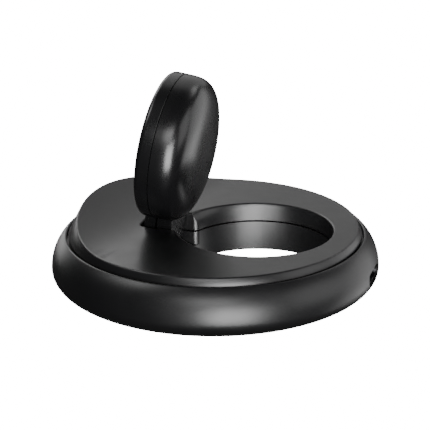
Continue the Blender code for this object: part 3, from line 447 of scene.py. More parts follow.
def solder_mask(name, colour_value):
    """Glass-epoxy board under a sprayed solder mask: green, half gloss, with the weave just showing."""
    material, tree, shader, place = started(name, colour_value, 0.35, IOR=1.5)
    weave = add(tree, "ShaderNodeTexChecker", {"Scale": 1.0 / (0.8 * MM)}, {"Vector": place})
    spray = add(tree, "ShaderNodeTexNoise", {"Scale": 1.0 / (2.0 * MM), "Detail": 3.0}, {"Vector": place})
    mixed = add(tree, "ShaderNodeMath", {"operation": "MULTIPLY_ADD", 1: 0.12},
                {0: weave.outputs["Fac"], 2: spray.outputs["Fac"]})
    tone = add(tree, "ShaderNodeMapRange", {"From Min": 0.3, "From Max": 0.9, "To Min": 0.8, "To Max": 1.25},
               {"Value": mixed.outputs["Value"]})
    shade = add(tree, "ShaderNodeVectorMath", {"operation": "SCALE", "Vector": colour_value},
                {"Scale": tone.outputs["Result"]})
    tree.links.new(shade.outputs["Vector"], shader.inputs["Base Color"])
    return material


def sintered_ferrite(name, colour_value):
    """Pressed and sintered ferrite: dark grey, dry and finely granular."""
    material, tree, shader, place = started(name, colour_value, 0.65, IOR=2.2)
    grit = add(tree, "ShaderNodeTexVoronoi", {"Scale": 1.0 / (0.3 * MM)}, {"Vector": place})
    bump = add(tree, "ShaderNodeBump", {"Strength": 0.3, "Distance": 0.02 * MM}, {"Height": grit.outputs["Distance"]})
    tree.links.new(bump.outputs["Normal"], shader.inputs["Normal"])
    tone = add(tree, "ShaderNodeMapRange", {"From Min": 0.0, "From Max": 1.0, "To Min": 0.8, "To Max": 1.3},
               {"Value": grit.outputs["Distance"]})
    shade = add(tree, "ShaderNodeVectorMath", {"operation": "SCALE", "Vector": colour_value},
                {"Scale": tone.outputs["Result"]})
    tree.links.new(shade.outputs["Vector"], shader.inputs["Base Color"])
    return material


# Each finish: its maker, its colour among the settings and what sets its surface apart.
FINISHES = {
    "ring_moulded_abs": (moulded_plastic, "ring", {"roughness": 0.37}),
    "deck_moulded_abs": (moulded_plastic, "deck", {"roughness": 0.34}),
    "head_moulded_abs": (moulded_plastic, "head", {"roughness": 0.27, "grain_mm": 0.4, "depth_mm": 0.003}),
    "tongue_moulded_nylon": (moulded_plastic, "nylon", {"roughness": 0.5, "grain_mm": 0.3}),
    "face_polished_polycarbonate": (polished_plastic, "face", {}),
    "foot_moulded_silicone": (moulded_silicone, "silicone", {}),
    "lead_extruded_rubber": (moulded_silicone, "rubber", {}),
    "screw_plated_steel": (plated_steel, "steel", {}),
    "bracket_stamped_steel": (plated_steel, "steel", {"roughness": 0.34, "grain_mm": (2.0, 0.2, 0.2)}),
    "port_drawn_steel": (plated_steel, "port", {"roughness": 0.3, "grain_mm": (0.2, 2.0, 0.2)}),
    "contact_gold_plate": (plated_steel, "gold", {"roughness": 0.2}),
    "magnet_nickel_plate": (plated_steel, "magnet", {"roughness": 0.18}),
    "coil_enamelled_copper": (wound_copper, "copper", {}),
    "board_solder_mask": (solder_mask, "board", {}),
    "ferrite_sintered": (sintered_ferrite, "ferrite", {}),
}


def finish_named(name):
    """One of the dock's finishes, made the first time that it is asked for."""
    maker, setting, surface = FINISHES[name]
    shade = tuple(getattr(bpy.context.scene.dock_finish, setting))
    return bpy.data.materials.get(name) or maker(name, shade, **surface)


def finish_nodes(wanted):
    """Give carried-over nodes their finishes."""
    for node, name in wanted.items():
        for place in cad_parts[node].material_slots:
            place.material = finish_named(name)


# Base

# The ring's floor, the wall round the opening, the foot ring, the room for the hinge axles and the port's mouth.
FLOOR_TOP = 3.7 * MM
FLOOR_UNDER = 1.9 * MM
TUBE_WALL = 1.45 * MM
FOOT_INSET = 4.7 * MM
FOOT_WIDTH = 2.0 * MM
AXLE_BORE = 1.3 * MM
NOTCH_HALF = 9.2 * MM
PORT_Z = 5.3 * MM
PORT_WIDTH = 8.94 * MM
PORT_HEIGHT = 3.16 * MM


def ring_profile():
    """Section of the ring as (radius, z): from the lip down the outside, under the floor and up inside."""
    b = base()
    upper = (b.radius - b.upper_in, b.widest)
    lower = (b.radius - b.lower_in, b.widest)
    lip = math.acos((b.radius - b.lip_inset - upper[0]) / b.upper_in)
    lip_point = Vector((upper[0] + b.upper_in * math.cos(lip), upper[1] + b.upper_rise * math.sin(lip)))
    normal = Vector((math.cos(lip) / b.upper_in, math.sin(lip) / b.upper_rise)).normalized()
    roll = lip_point - b.lip_roll * normal
    turn = math.atan2(normal.y, normal.x)

    foot_gap = 0.3 * MM
    groove_out = b.radius - FOOT_INSET + foot_gap
    groove_in = groove_out - FOOT_WIDTH - 2 * foot_gap
    groove_top = b.bottom + 0.75 * MM
    groove = math.acos((groove_out - lower[0]) / b.lower_in)
    soft = 0.1 * MM
    cavity = b.radius - b.wall
    corner = 2.2 * MM
    ledge = b.cover_top - 2.8 * MM

    profile = arc(roll, (b.lip_roll, b.lip_roll), math.pi, turn, 10)[:-1]
    profile += arc(upper, (b.upper_in, b.upper_rise), lip, 0, 22)[:-1]
    profile += arc(lower, (b.lower_in, b.widest - b.bottom), 0, -groove, 18)
    profile += [(groove_out, groove_top), (groove_in, groove_top), (groove_in, b.bottom + soft)]
    profile += [(groove_in - soft, b.bottom), (groove_in - 4 * soft, b.bottom)]
    profile += [(groove_in - 8 * soft, FLOOR_UNDER), (0.0, FLOOR_UNDER), (0.0, FLOOR_TOP)]
    profile += arc((cavity - corner, FLOOR_TOP + corner), (corner, corner), -math.pi / 2, 0, 6)
    profile += [(cavity, ledge), (roll.x - b.lip_roll, ledge)]
    return profile


def port_loop(offset, y):
    """Outline of the port with its round ends, moved outwards by an offset, at one y."""
    r = PORT_HEIGHT / 2 + offset
    flat = (PORT_WIDTH - PORT_HEIGHT) / 2
    points = arc((flat, PORT_Z), (r, r), -math.pi / 2, math.pi / 2, 12)
    points += arc((-flat, PORT_Z), (r, r), math.pi / 2, 3 * math.pi / 2, 12)
    return [(x, y, z) for x, z in points]


def axle_notch(start, far):
    """Tool that makes room for the hinge axles: half round from an angle on, and from there straight to a height."""
    h = head()
    outline = arc((-h.hinge_back, h.hinge_height), (AXLE_BORE, AXLE_BORE), start, start + math.pi, 14)
    outline += [(outline[-1][0], far), (outline[0][0], far)]
    return draft("notch", raised([(-NOTCH_HALF, y, z) for y, z in outline], (2 * NOTCH_HALF, 0.0, 0.0)))


class DOCK_OT_ring(bpy.types.Operator):
    """Build the bulging lower ring with its lip, opening, slot and port"""
    bl_idname = "dock.ring"
    bl_label = "Ring"

    def execute(self, context):
        b, o, h = base(), opening(), head()
        ring = draft("ring_housing", turned(ring_profile(), b.segments))

        root = (FLOOR_UNDER + FLOOR_TOP) / 2
        split = h.hinge_height - 0.55 * MM
        tube_top = split - 0.15 * MM
        tube = draft("tube", slab(opening_loop(TUBE_WALL), root, tube_top))
        boss, stud, stud_x, stud_top = 2.6 * MM, 1.7 * MM, 11.15 * MM, FLOOR_TOP + 0.05 * MM
        bosses = bmesh.new()
        for place in screw_places():
            puck(boss, root, split, place, 32, bosses)
        for side in (-1, 1):
            puck(stud, root, stud_top, (side * stud_x, -h.hinge_back), 24, bosses)
        bosses = draft("bosses", bosses)

        slot_floor = h.hinge_height - 4.0 * MM
        passage = draft("passage", slab(opening_loop(0.0), slot_floor, b.cover_top))
        flare = arc((o.radius + o.flare, FLOOR_UNDER + o.flare), (o.flare, o.flare), math.pi, 3 * math.pi / 2, 10)
        outline = [(0.0, b.cover_top), (o.radius, b.cover_top), *flare, (o.radius + o.flare, 0.0), (0.0, 0.0)]
        hole = draft("hole", turned(outline, 120, (0.0, o.forward)))
        wide, narrow, step = 2.2 * MM, 1.2 * MM, FLOOR_UNDER + 1.6 * MM
        outline = [(0.0, 0.0), (wide, 0.0), (wide, step), (narrow, step), (narrow, b.cover_top), (0.0, b.cover_top)]
        bores = bmesh.new()
        for place in screw_places():
            turned(outline, 32, place, bores)
        bores = draft("bores", bores)
        port_gap, port_reach = 0.3 * MM, 2.0 * MM
        port = draft("port", raised(port_loop(port_gap, b.radius - b.wall - port_reach),
                                    (0.0, b.wall + 2 * port_reach, 0.0)))
        shape(ring, ("UNION", tube), ("UNION", bosses), ("DIFFERENCE", passage), ("DIFFERENCE", hole),
              ("DIFFERENCE", bores), ("DIFFERENCE", axle_notch(math.pi, b.cover_top)), ("DIFFERENCE", port))
        dress(ring, finish_named("ring_moulded_abs"), "base", ("lower_housing",))
        return {"FINISHED"}


# Room left round the head's edge where it swings past the cover.
SWING_CLEARANCE = 0.40 * MM


def swing_give(x, y, z):
    """How far the rim moves back at a point, so that the edge of the head passes as it turns."""
    h = head()
    reach = h.radius + SWING_CLEARANCE
    if abs(x) >= reach or y > opening().forward or z <= h.hinge_height:
        return 0.0
    near = h.reach - math.sqrt(reach ** 2 - x ** 2)
    over = z - h.hinge_height
    limit = -h.hinge_back + math.sqrt(max(near ** 2 - over ** 2, 0.0))
    return max(y - limit, 0.0)


class DOCK_OT_cover(bpy.types.Operator):
    """Build the cover with its ramp, rounded edges and the wall of the opening"""
    bl_idname = "dock.cover"
    bl_label = "Cover"

    def execute(self, context):
        b, h = base(), head()
        rim = b.radius - 4.2 * MM
        shoulder = b.cover_top - 1.6 * MM
        slope = 0.5
        low = b.cover_top - 2.4 * MM
        wall = 1.9 * MM
        ceiling = b.cover_top - wall
        skirt = h.hinge_height - 0.40 * MM
        soft = 0.12 * MM
        brim = 0.1 * MM
        longest = 0.9 * MM
        steps = 5

        bm = bmesh.new()
        on_deck = bm.verts.layers.float.new("on_deck")
        on_ceiling = bm.verts.layers.float.new("on_ceiling")

        wall_line = filled_in(opening_loop(0.0), longest)
        pole = (0.0, -5.0 * MM)
        angles = []
        for x, y in wall_line:
            dx, dy = x - pole[0], y - pole[1]
            size = math.hypot(dx, dy)
            dx, dy = dx / size, dy / size
            along = pole[0] * dx + pole[1] * dy
            far = -along + math.sqrt(along ** 2 + rim ** 2 - pole[0] ** 2 - pole[1] ** 2)
            angles.append(math.atan2(pole[1] + far * dy, pole[0] + far * dx))

        def outer(place):
            """One closed loop round the outside. place gives radius and height at an angle."""
            loop = []
            for a in angles:
                r, z = place(a)
                loop.append(bm.verts.new((r * math.cos(a), r * math.sin(a), z)))
            return loop

        def inner(offset, height):
            """One closed loop round the opening, set back where the head swings past."""
            loop = []
            for i, (x, y) in enumerate(wall_line):
                (x0, y0), (x1, y1) = wall_line[i - 1], wall_line[(i + 1) % len(wall_line)]
                size = math.hypot(x1 - x0, y1 - y0)
                px, py = x + offset * (y1 - y0) / size, y - offset * (x1 - x0) / size
                z = height(px, py)
                loop.append(bm.verts.new((px, py - swing_give(x, y, z), z)))
            return loop

        def meeting(level, inset):
            """Where the sloping side, moved in by an inset, meets a copy of the deck at a level."""
            def place(a):
                r = rim - inset
                for _ in range(8):
                    z = level + deck_rise(r * math.cos(a), r * math.sin(a))
                    r = rim - inset - slope * max(z - shoulder, 0.0)
                return r, z
            return place

        edge = meeting(b.cover_top, 0.0)
        t = b.cover_edge
        lean = math.atan(slope)

        def rounded(s):
            """Point of the round between the side and the deck, from 0 on the side to 1 on the deck."""
            def place(a):
                r, z = edge(a)
                inside = r - t
                deck = b.cover_top + deck_rise(inside * math.cos(a), inside * math.sin(a))
                ends = (Vector((r + t * math.sin(lean), z - t * math.cos(lean))), Vector((r, z)),
                        Vector((inside, deck)))
                return (1 - s) ** 2 * ends[0] + 2 * s * (1 - s) * ends[1] + s * s * ends[2]
            return place

        def support(a):
            """Point of the deck just inside the round."""
            r = edge(a)[0] - t - brim
            return r, b.cover_top + deck_rise(r * math.cos(a), r * math.sin(a))

        outers = [outer(meeting(ceiling, wall)), outer(lambda a: (rim - wall, low)),
                  outer(lambda a: (rim - soft, low)), outer(lambda a: (rim, low + soft)),
                  outer(lambda a: (rim, shoulder))]
        outers += [outer(rounded(i / steps)) for i in range(steps + 1)]
        outers.append(outer(support))

        f = b.rim_round
        inners = [inner(TUBE_WALL, lambda x, y: ceiling + deck_rise(x, y)), inner(TUBE_WALL, lambda x, y: skirt),
                  inner(soft, lambda x, y: skirt), inner(0.0, lambda x, y: skirt + soft)]
        for part in (i / steps for i in range(1, steps)):
            inners.append(inner(0.0, lambda x, y: skirt + part * (b.cover_top + deck_rise(x, y) - f - skirt)))
        for a in (math.pi / 2 * i / steps for i in range(steps + 1)):
            down = f * (1 - math.sin(a))
            inners.append(inner(f * (1 - math.cos(a)), lambda x, y: b.cover_top + deck_rise(x, y) - down))
        inners.append(inner(f + brim, lambda x, y: b.cover_top + deck_rise(x, y)))

        for layer, at in ((on_ceiling, 0), (on_deck, -1)):
            for v in outers[at] + inners[at]:
                v[layer] = 1.0
        strips = [*zip(outers, outers[1:]), *zip(inners, inners[1:])]
        strips += [(outers[0], inners[0]), (outers[-1], inners[-1])]
        for one, two in strips:
            for i in range(len(one)):
                bm.faces.new((one[i - 1], one[i], two[i], two[i - 1]))

        def marked(v, layer):
            """Whether a corner lies on the deck or the ceiling, new corners between marked ones too."""
            return v[layer] > 0.9999

        lines = 24
        places = [scoop_start() - 0.4 * MM]
        places += [scoop_start() + (rim - scoop_start()) * i / lines for i in range(lines)]
        for s in places:
            level = [face for face in bm.faces
                     if all(marked(v, on_deck) or marked(v, on_ceiling) for v in face.verts)]
            cut = level + list({e for face in level for e in face.edges})
            cut += list({v for face in level for v in face.verts})
            bmesh.ops.bisect_plane(bm, geom=cut, dist=0.0001 * MM, plane_co=(*(s * SCOOP_LINE), 0.0),
                                   plane_no=(*SCOOP_LINE, 0.0))
        for v in bm.verts:
            for layer, level in ((on_ceiling, ceiling), (on_deck, b.cover_top)):
                if marked(v, layer):
                    v.co.z = level + deck_rise(v.co.x, v.co.y)
        bmesh.ops.triangulate(bm, faces=[face for face in bm.faces if len(face.verts) > 4])
        cover = draft("deck_cover", bm)
        shape(cover, ("DIFFERENCE", axle_notch(0.0, h.hinge_height - AXLE_BORE)))
        dress(cover, finish_named("deck_moulded_abs"), "base", ("top_cover",))
        return {"FINISHED"}


class DOCK_OT_foot(bpy.types.Operator):
    """Build the silicone foot ring"""
    bl_idname = "dock.foot"
    bl_label = "Foot ring"

    def execute(self, context):
        b = base()
        out = b.radius - FOOT_INSET
        into = out - FOOT_WIDTH
        top = b.bottom + 0.45 * MM
        r = 0.3 * MM
        profile = arc((into + r, r), (r, r), math.pi, 3 * math.pi / 2, 5)
        profile += arc((out - r, r), (r, r), -math.pi / 2, 0, 5)
        profile += [(out, top), (into, top)]
        dress(draft("foot_pad", turned(profile, b.segments)), finish_named("foot_moulded_silicone"), "base",
              ("foot_ring",))
        return {"FINISHED"}


class DOCK_OT_port(bpy.types.Operator):
    """Build the power port: drawn shell, tongue and contacts"""
    bl_idname = "dock.port"
    bl_label = "Power port"

    def execute(self, context):
        mouth = ring_surface(PORT_Z) - 0.9 * MM
        back = mouth - 5.9 * MM
        wall, soft = 0.3 * MM, 0.05 * MM
        plate = 0.8 * MM
        shell = bmesh.new()
        loops = []
        for inset, y in ((0.0, back), (0.0, mouth - 2 * soft), (soft, mouth), (wall - soft, mouth),
                         (wall, mouth - 3 * soft), (wall, back + plate)):
            verts = [shell.verts.new(p) for p in port_loop(-inset, y)]
            loops.append((verts, [shell.edges.new((verts[i - 1], verts[i])) for i in range(len(verts))]))
        for (_, one), (_, two) in zip(loops, loops[1:]):
            bmesh.ops.bridge_loops(shell, edges=one + two)
        shell.faces.new(loops[0][0])
        shell.faces.new(loops[-1][0])
        dress(draft("port_shell", shell), finish_named("port_drawn_steel"), "base", ("usb_c_shell",))

        root = back + 1.1 * MM
        half, side_x, reach, rounding = 0.35 * MM, 3.35 * MM, 4.4 * MM, 0.15 * MM
        tongue = block((-side_x, root, PORT_Z - half), (side_x, root + reach, PORT_Z + half))
        ends = [e for e in tongue.edges if all(v.co.y > root + reach / 2 for v in e.verts)]
        bmesh.ops.bevel(tongue, geom=ends, offset=rounding, segments=3, profile=0.5, affect="EDGES", material=-1,
                        offset_type="OFFSET")
        dress(draft("port_tongue", tongue), finish_named("tongue_moulded_nylon"), "base", ("usb_c_tongue",))

        pitch, half_strip, thick, start, stop = 0.5 * MM, 0.12 * MM, 0.03 * MM, root + 1.0 * MM, root + 4.0 * MM
        contacts = bmesh.new()
        for x in (pitch * (i - 5.5) for i in range(12)):
            for low in (PORT_Z - half - thick, PORT_Z + half):
                block((x - half_strip, start, low), (x + half_strip, stop, low + thick), contacts)
        dress(draft("port_contacts", contacts), finish_named("contact_gold_plate"), "base")
        return {"FINISHED"}


class DOCK_OT_screws(bpy.types.Operator):
    """Build the housing screws with their cross recesses"""
    bl_idname = "dock.screws"
    bl_label = "Housing screws"

    def execute(self, context):
        seat, top, shank_end, tip = 2.2 * MM, 3.2 * MM, 11.3 * MM, 12.1 * MM
        r, shank, soft = 1.9 * MM, 0.9 * MM, 0.45 * MM
        half, arm, recess_top = 0.22 * MM, 0.95 * MM, seat + 0.6 * MM
        profile = [(0.0, seat), *arc((r - soft, seat + soft), (soft, soft), -math.pi / 2, 0, 6), (r, top),
                   (shank, top), (shank, shank_end), (0.0, tip)]
        for number, (x, y) in enumerate(screw_places(), 1):
            screw = draft("housing_screw_%d_fine" % number, turned(profile, 40, (x, y)))
            cross = [draft("recess", block((x - across, y - along, 0.0), (x + across, y + along, recess_top)))
                     for across, along in ((arm, half), (half, arm))]
            shape(screw, *(("DIFFERENCE", bar) for bar in cross))
            dress(screw, finish_named("screw_plated_steel"), "base", ("housing_screw_%d" % number,))
        return {"FINISHED"}


class DOCK_OT_inner_base(bpy.types.Operator):
    """Give the parts inside the base their finishes"""
    bl_idname = "dock.inner_base"
    bl_label = "Inner parts of the base"

    def execute(self, context):
        finish_nodes({
            "ballast_plate": "bracket_stamped_steel",
            "circuit_board": "board_solder_mask",
            "hinge_bracket_left": "bracket_stamped_steel",
            "hinge_bracket_right": "bracket_stamped_steel",
            "bracket_screw_left": "screw_plated_steel",
            "bracket_screw_right": "screw_plated_steel",
            "hinge_axle_left": "screw_plated_steel",
            "hinge_axle_right": "screw_plated_steel",
            "lead_base": "lead_extruded_rubber",
        })
        return {"FINISHED"}


# Charging head

# The neck's half width and its reach in front of and behind the hinge axis, the gap at the seam and the shells' wall.
NECK_HALF = 5.4 * MM
NECK_FRONT = 4.1 * MM
NECK_REAR = 2.7 * MM
SEAM_GAP = 0.06 * MM
SHELL_WALL = 1.6 * MM


def head_matrix():
    """From the folded head's frame, with the hinge at its origin, to the standing head."""
    h = head()
    return Matrix.Translation((0.0, -h.hinge_back, h.hinge_height)) @ Matrix.Rotation(h.open_angle, 4, "X")


def stand(bm):
    """Turn what was made in the folded head's frame to the standing head."""
    bmesh.ops.transform(bm, matrix=head_matrix(), verts=bm.verts)
    return bm


def neck_half(upper):
    """One half of the neck with its knuckle, in the folded head's frame."""
    h = head()
    gap, rounding, near = 0.2 * MM, 0.7 * MM, 0.01 * MM
    level = h.seam + gap if upper else h.seam - gap
    half = (NECK_FRONT + NECK_REAR) / 2
    middle = (NECK_FRONT - NECK_REAR) / 2
    start = math.pi - math.asin((level - middle) / half)
    side = NECK_FRONT if upper else -NECK_REAR
    end = h.reach - h.radius + 0.96 * MM
    stop = math.pi / 2 if upper else 3 * math.pi / 2
    outline = arc((0.0, middle), (half, half), start, stop, 18) + [(end, side), (end, level)]
    body = raised([(-NECK_HALF, y, z) for y, z in outline], (2 * NECK_HALF, 0.0, 0.0))
    edges = [e for e in body.edges
             if all(abs(abs(v.co.x) - NECK_HALF) < near for v in e.verts)
             and abs(e.verts[0].co.z - level) + abs(e.verts[1].co.z - level) > 2 * near
             and not all(abs(v.co.y - end) < near for v in e.verts)]
    bmesh.ops.bevel(body, geom=edges, offset=rounding, segments=5, profile=0.5, affect="EDGES", material=-1,
                    offset_type="OFFSET", clamp_overlap=True)
    return body


def dome_points(radius, depth, start, steps, power=3.5):
    """Superellipse from the rim to the pole, as (radius, depth below the seam)."""
    points = []
    first = math.asin((start / depth) ** (power / 2))
    for i in range(steps + 1):
        a = first + (math.pi / 2 - first) * i / steps
        c = max(math.cos(a), 0.0)
        points.append((radius * c ** (2 / power), depth * math.sin(a) ** (2 / power)))
    points[-1] = (0.0, depth)
    return points


def knuckle_tools():
    """What both halves of the neck leave free: room for the clips, the axles' bore and a channel for the lead."""
    clip_room, cheek, lead_half, lead_end = 2.05 * MM, 0.9 * MM, 1.2 * MM, 11.2 * MM
    pocket = draft("pocket", stand(rod(clip_room, -NECK_HALF + cheek, NECK_HALF - cheek)))
    bore = draft("bore", stand(rod(AXLE_BORE, -2 * NECK_HALF, 2 * NECK_HALF)))
    channel = draft("channel", stand(block((-lead_half, 0.0, -lead_half), (lead_half, lead_end, lead_half))))
    return ("DIFFERENCE", pocket), ("DIFFERENCE", bore), ("DIFFERENCE", channel)


class DOCK_OT_head_back(bpy.types.Operator):
    """Build the domed back of the charging head with its half of the neck"""
    bl_idname = "dock.head_back"
    bl_label = "Back of the head"

    def execute(self, context):
        h = head()
        centre = (0.0, h.reach)
        soft = 0.12 * MM
        outside = dome_points(h.radius, h.dome, SEAM_GAP + soft, 34)
        inside = dome_points(h.radius - SHELL_WALL, h.dome - SHELL_WALL, SEAM_GAP, 12)
        profile = [(h.radius - soft, h.seam - SEAM_GAP)]
        profile += [(r, h.seam - t) for r, t in outside + inside[::-1]]
        back = draft("head_back", stand(turned(profile, h.segments, centre)))
        neck = draft("neck", stand(neck_half(False)))
        shape(back, ("UNION", neck), *knuckle_tools())
        dress(back, finish_named("head_moulded_abs"), "head", ("head_rear_shell",))
        return {"FINISHED"}


class DOCK_OT_head_front(bpy.types.Operator):
    """Build the front shell of the charging head with its half of the neck"""
    bl_idname = "dock.head_front"
    bl_label = "Front of the head"

    def execute(self, context):
        h = head()
        centre = (0.0, h.reach)
        low = h.seam + SEAM_GAP
        top = h.seam + h.front
        soft = 0.08 * MM
        edge = 1.3 * MM
        seat = top - 1.55 * MM
        pocket = h.face + 0.3 * MM
        coil_hole, rest, inside = 10.6 * MM, seat - 1.6 * MM, h.radius - SHELL_WALL
        profile = [(h.radius - soft, low), (h.radius, low + soft)]
        profile += arc((h.radius - edge, top - edge), (edge, edge), 0, math.pi / 2, 14)
        profile += [(pocket + soft, top), (pocket, top - soft), (pocket, seat)]
        profile += [(coil_hole, seat), (coil_hole, rest), (inside, rest), (inside, low)]
        front = draft("head_front", stand(turned(profile, h.segments, centre)))
        neck = draft("neck", stand(neck_half(True)))
        circle, sink, sink_floor = 12.35 * MM, 1.8 * MM, seat - 0.9 * MM
        counter = bmesh.new()
        for a in (math.radians(angle) for angle in (90.0, 210.0, 330.0)):
            puck(sink, sink_floor, top, (circle * math.cos(a), h.reach + circle * math.sin(a)), 32, counter)
        counter = draft("counter", stand(counter))
        shape(front, ("UNION", neck), *knuckle_tools(), ("DIFFERENCE", counter))
        dress(front, finish_named("head_moulded_abs"), "head", ("head_front_shell",))
        return {"FINISHED"}


class DOCK_OT_face(bpy.types.Operator):
    """Build the dished charging face"""
    bl_idname = "dock.face"
    bl_label = "Charging face"

    def execute(self, context):
        h = head()
        top = h.seam + h.front - 0.1 * MM
        low = top - 1.15 * MM
        r = h.face
        dish = 0.5 * MM
        sphere = (r ** 2 + dish ** 2) / (2 * dish)
        soft = 0.3 * MM
        sweep = math.asin((r - soft) / sphere)
        profile = [(0.0, low), (r, low), (r, top - soft)]
        profile += arc((r - soft, top - soft), (soft, soft), 0, math.pi / 2, 6)[1:-1]
        profile += [(x, top - dish + z) for x, z in
                    arc((0.0, sphere), (sphere, sphere), -math.pi / 2 + sweep, -math.pi / 2, 18)]
        profile[-1] = (0.0, top - dish)
        window = draft("charging_window", stand(turned(profile, h.segments, (0.0, h.reach))))
        dress(window, finish_named("face_polished_polycarbonate"), "head", ("charging_face",))
        return {"FINISHED"}


class DOCK_OT_inner_head(bpy.types.Operator):
    """Give the parts inside the head their finishes"""
    bl_idname = "dock.inner_head"
    bl_label = "Inner parts of the head"

    def execute(self, context):
        finish_nodes({
            "charging_coil": "coil_enamelled_copper",
            "ferrite_disc": "ferrite_sintered",
            "alignment_magnet": "magnet_nickel_plate",
            "head_board": "board_solder_mask",
            "friction_clip_left": "bracket_stamped_steel",
            "friction_clip_right": "bracket_stamped_steel",
            "head_screw_1": "screw_plated_steel",
            "head_screw_2": "screw_plated_steel",
            "head_screw_3": "screw_plated_steel",
            "lead_head": "lead_extruded_rubber",
        })
        return {"FINISHED"}


# Studio

def area_light(name, place, aim, width, height, radiance):
    """A rectangular light at a place, turned along a direction."""
    data = bpy.data.lights.new(name, "AREA")
    data.shape = "RECTANGLE"
    data.size, data.size_y = width, height
    data.energy = radiance * math.pi * width * height
    obj = bpy.data.objects.new(name, data)
    bpy.context.scene.collection.objects.link(obj)
    obj.location = place
    obj.rotation_mode = "QUATERNION"
    obj.rotation_quaternion = aim.to_track_quat("-Z", "Y")
    return obj


def backdrop_paper(name, glow):
    """White paper lit from behind, so that it shows as plain white."""
    material = bpy.data.materials.new(name)
    material.use_nodes = True
    shader = material.node_tree.nodes["Principled BSDF"]
    shader.inputs["Base Color"].default_value = (*linear("808080"), 1.0)
    shader.inputs["Roughness"].default_value = 0.9
    shader.inputs["Emission Color"].default_value = (1.0, 1.0, 1.0, 1.0)
    shader.inputs["Emission Strength"].default_value = glow
    return material


def ground(name, material):
    """A level sheet that the dock stands on, seen by the camera alone, so it neither lights nor shades the dock."""
    bm = bmesh.new()
    bmesh.ops.create_grid(bm, x_segments=1, y_segments=1, size=PAPER_HALF)
    mesh = bpy.data.meshes.new(name)
    bm.to_mesh(mesh)
    bm.free()
    sheet = bpy.data.objects.new(name, mesh)
    sheet.data.materials.append(material)
    sheet.visible_diffuse = sheet.visible_glossy = sheet.visible_shadow = False
    bpy.context.scene.collection.objects.link(sheet)


# Half the side of the paper (m) and how strongly it glows.
PAPER_HALF = 4.0
PAPER_GLOW = 16.5

# Softboxes round the dock, turned to a point in it: name, azimuth and elevation (degrees, azimuth 0 is the near
# side), distance, width and height (m), and radiance at strength 1.
SOFTBOX_AIM = Vector((0.0, 0.0, 0.02))
SOFTBOXES = (
    ("front", 27, -2, 1.0, 0.54, 0.66, 15.0),
    ("front_high", 14, 34, 1.0, 0.55, 0.32, 5.6),
    ("crease", 209, 28, 1.0, 0.30, 0.24, 1.9),
    ("backdrop", 190, 34, 1.0, 1.1, 1.0, 0.6),
    ("left_back", 232, 36, 1.0, 0.30, 0.40, 4.2),
    ("left_low", 227, 3, 1.0, 0.50, 0.32, 2.1),
    ("left_high", 292, 52, 0.8, 0.3, 0.3, 5.0),
    ("front_right", 88, 16, 1.0, 0.7, 0.7, 1.6),
    ("right", 134, -2, 1.0, 0.8, 0.9, 1.4),
    ("right_low", 126, -28, 1.0, 0.7, 0.4, 0.8),
    ("right_back", 147, 41, 1.0, 0.34, 0.28, 2.0),
)

# A small strip low in the opening that lights the opening's wall: place, direction, width and height (m), radiance
# at strength 1 and how wide it shines.
WELL_PLACE = Vector((0.012, 0.0095, 0.0040))
WELL_AIM = Vector((-1.0, -0.35, 0.2))
WELL_SIZE = (0.03, 0.008)
WELL_RADIANCE = 6.0
WELL_SPREAD = math.radians(100.0)

# Where the camera looks, and along which line.
VIEW_POINT = Vector((0.0, 0.0, 16.4 * MM))
VIEW_LINE = Vector((-0.8983, -0.2776, -0.3406)).normalized()


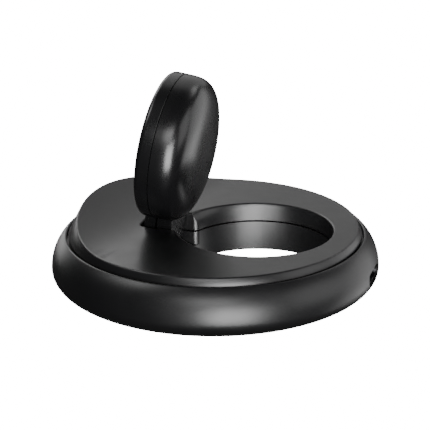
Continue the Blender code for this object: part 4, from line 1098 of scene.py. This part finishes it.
class DOCK_OT_studio(bpy.types.Operator):
    """Set up the floor, the lights and the camera"""
    bl_idname = "dock.studio"
    bl_label = "Studio"

    def execute(self, context):
        scene = context.scene
        s = scene.dock_studio
        world = bpy.data.worlds.new("even_room_light")
        world.use_nodes = True
        world.node_tree.nodes["Background"].inputs["Color"].default_value = (1.0, 1.0, 1.0, 1.0)
        world.node_tree.nodes["Background"].inputs["Strength"].default_value = s.fill
        scene.world = world

        ground("floor", backdrop_paper("backdrop_lit_paper", PAPER_GLOW))
        for name, azimuth, elevation, distance, width, height, radiance in SOFTBOXES:
            a, e = math.radians(azimuth), math.radians(elevation)
            offset = distance * Vector((math.cos(e) * math.cos(a), math.cos(e) * math.sin(a), math.sin(e)))
            area_light(name, SOFTBOX_AIM + offset, -offset, width, height, s.key * radiance)
        well = area_light("well", WELL_PLACE, WELL_AIM, *WELL_SIZE, s.key * WELL_RADIANCE)
        well.data.spread = WELL_SPREAD
        well.visible_camera = False

        right = VIEW_LINE.cross(Vector((0.0, 0.0, 1.0))).normalized()
        up = right.cross(VIEW_LINE)
        roll_right = right * math.cos(s.roll) - up * math.sin(s.roll)
        roll_up = up * math.cos(s.roll) + right * math.sin(s.roll)
        camera = bpy.data.objects.new("camera", bpy.data.cameras.new("camera"))
        scene.collection.objects.link(camera)
        camera.data.lens = s.lens
        camera.data.sensor_width = 36.0
        camera.data.clip_start = 0.01
        turn = Matrix((roll_right, roll_up, -VIEW_LINE)).transposed()
        camera.matrix_world = Matrix.Translation(VIEW_POINT - VIEW_LINE * s.distance) @ turn.to_4x4()
        scene.camera = camera
        return {"FINISHED"}


class DOCK_PT_panel(bpy.types.Panel):
    """Lists the dock's settings and its pieces"""
    bl_idname = "DOCK_PT_panel"
    bl_label = "Charging dock"
    bl_space_type = "VIEW_3D"
    bl_region_type = "UI"
    bl_category = "Dock"

    def draw(self, context):
        for group in (context.scene.dock_base, context.scene.dock_opening, context.scene.dock_head,
                      context.scene.dock_finish, context.scene.dock_studio):
            column = self.layout.column(align=True)
            for key in group.bl_rna.properties.keys():
                if key not in ("rna_type", "name"):
                    column.prop(group, key)
        for step in STEPS:
            self.layout.operator(step.bl_idname)


SETTINGS = (
    ("dock_base", DockBaseSettings),
    ("dock_opening", DockOpeningSettings),
    ("dock_head", DockHeadSettings),
    ("dock_finish", DockFinishSettings),
    ("dock_studio", DockStudioSettings),
)
STEPS = (DOCK_OT_ring, DOCK_OT_cover, DOCK_OT_foot, DOCK_OT_port, DOCK_OT_screws, DOCK_OT_inner_base,
         DOCK_OT_head_back, DOCK_OT_head_front, DOCK_OT_face, DOCK_OT_inner_head, DOCK_OT_studio)


def register():
    for key, group in SETTINGS:
        bpy.utils.register_class(group)
        setattr(bpy.types.Scene, key, PointerProperty(type=group))
    for item in STEPS + (DOCK_PT_panel,):
        bpy.utils.register_class(item)


def unregister():
    for item in reversed(STEPS + (DOCK_PT_panel,)):
        bpy.utils.unregister_class(item)
    for key, group in reversed(SETTINGS):
        delattr(bpy.types.Scene, key)
        bpy.utils.unregister_class(group)


def main():
    register()
    for step in STEPS:
        space, name = step.bl_idname.split(".")
        getattr(getattr(bpy.ops, space), name)()


if __name__ == "__main__":
    main()
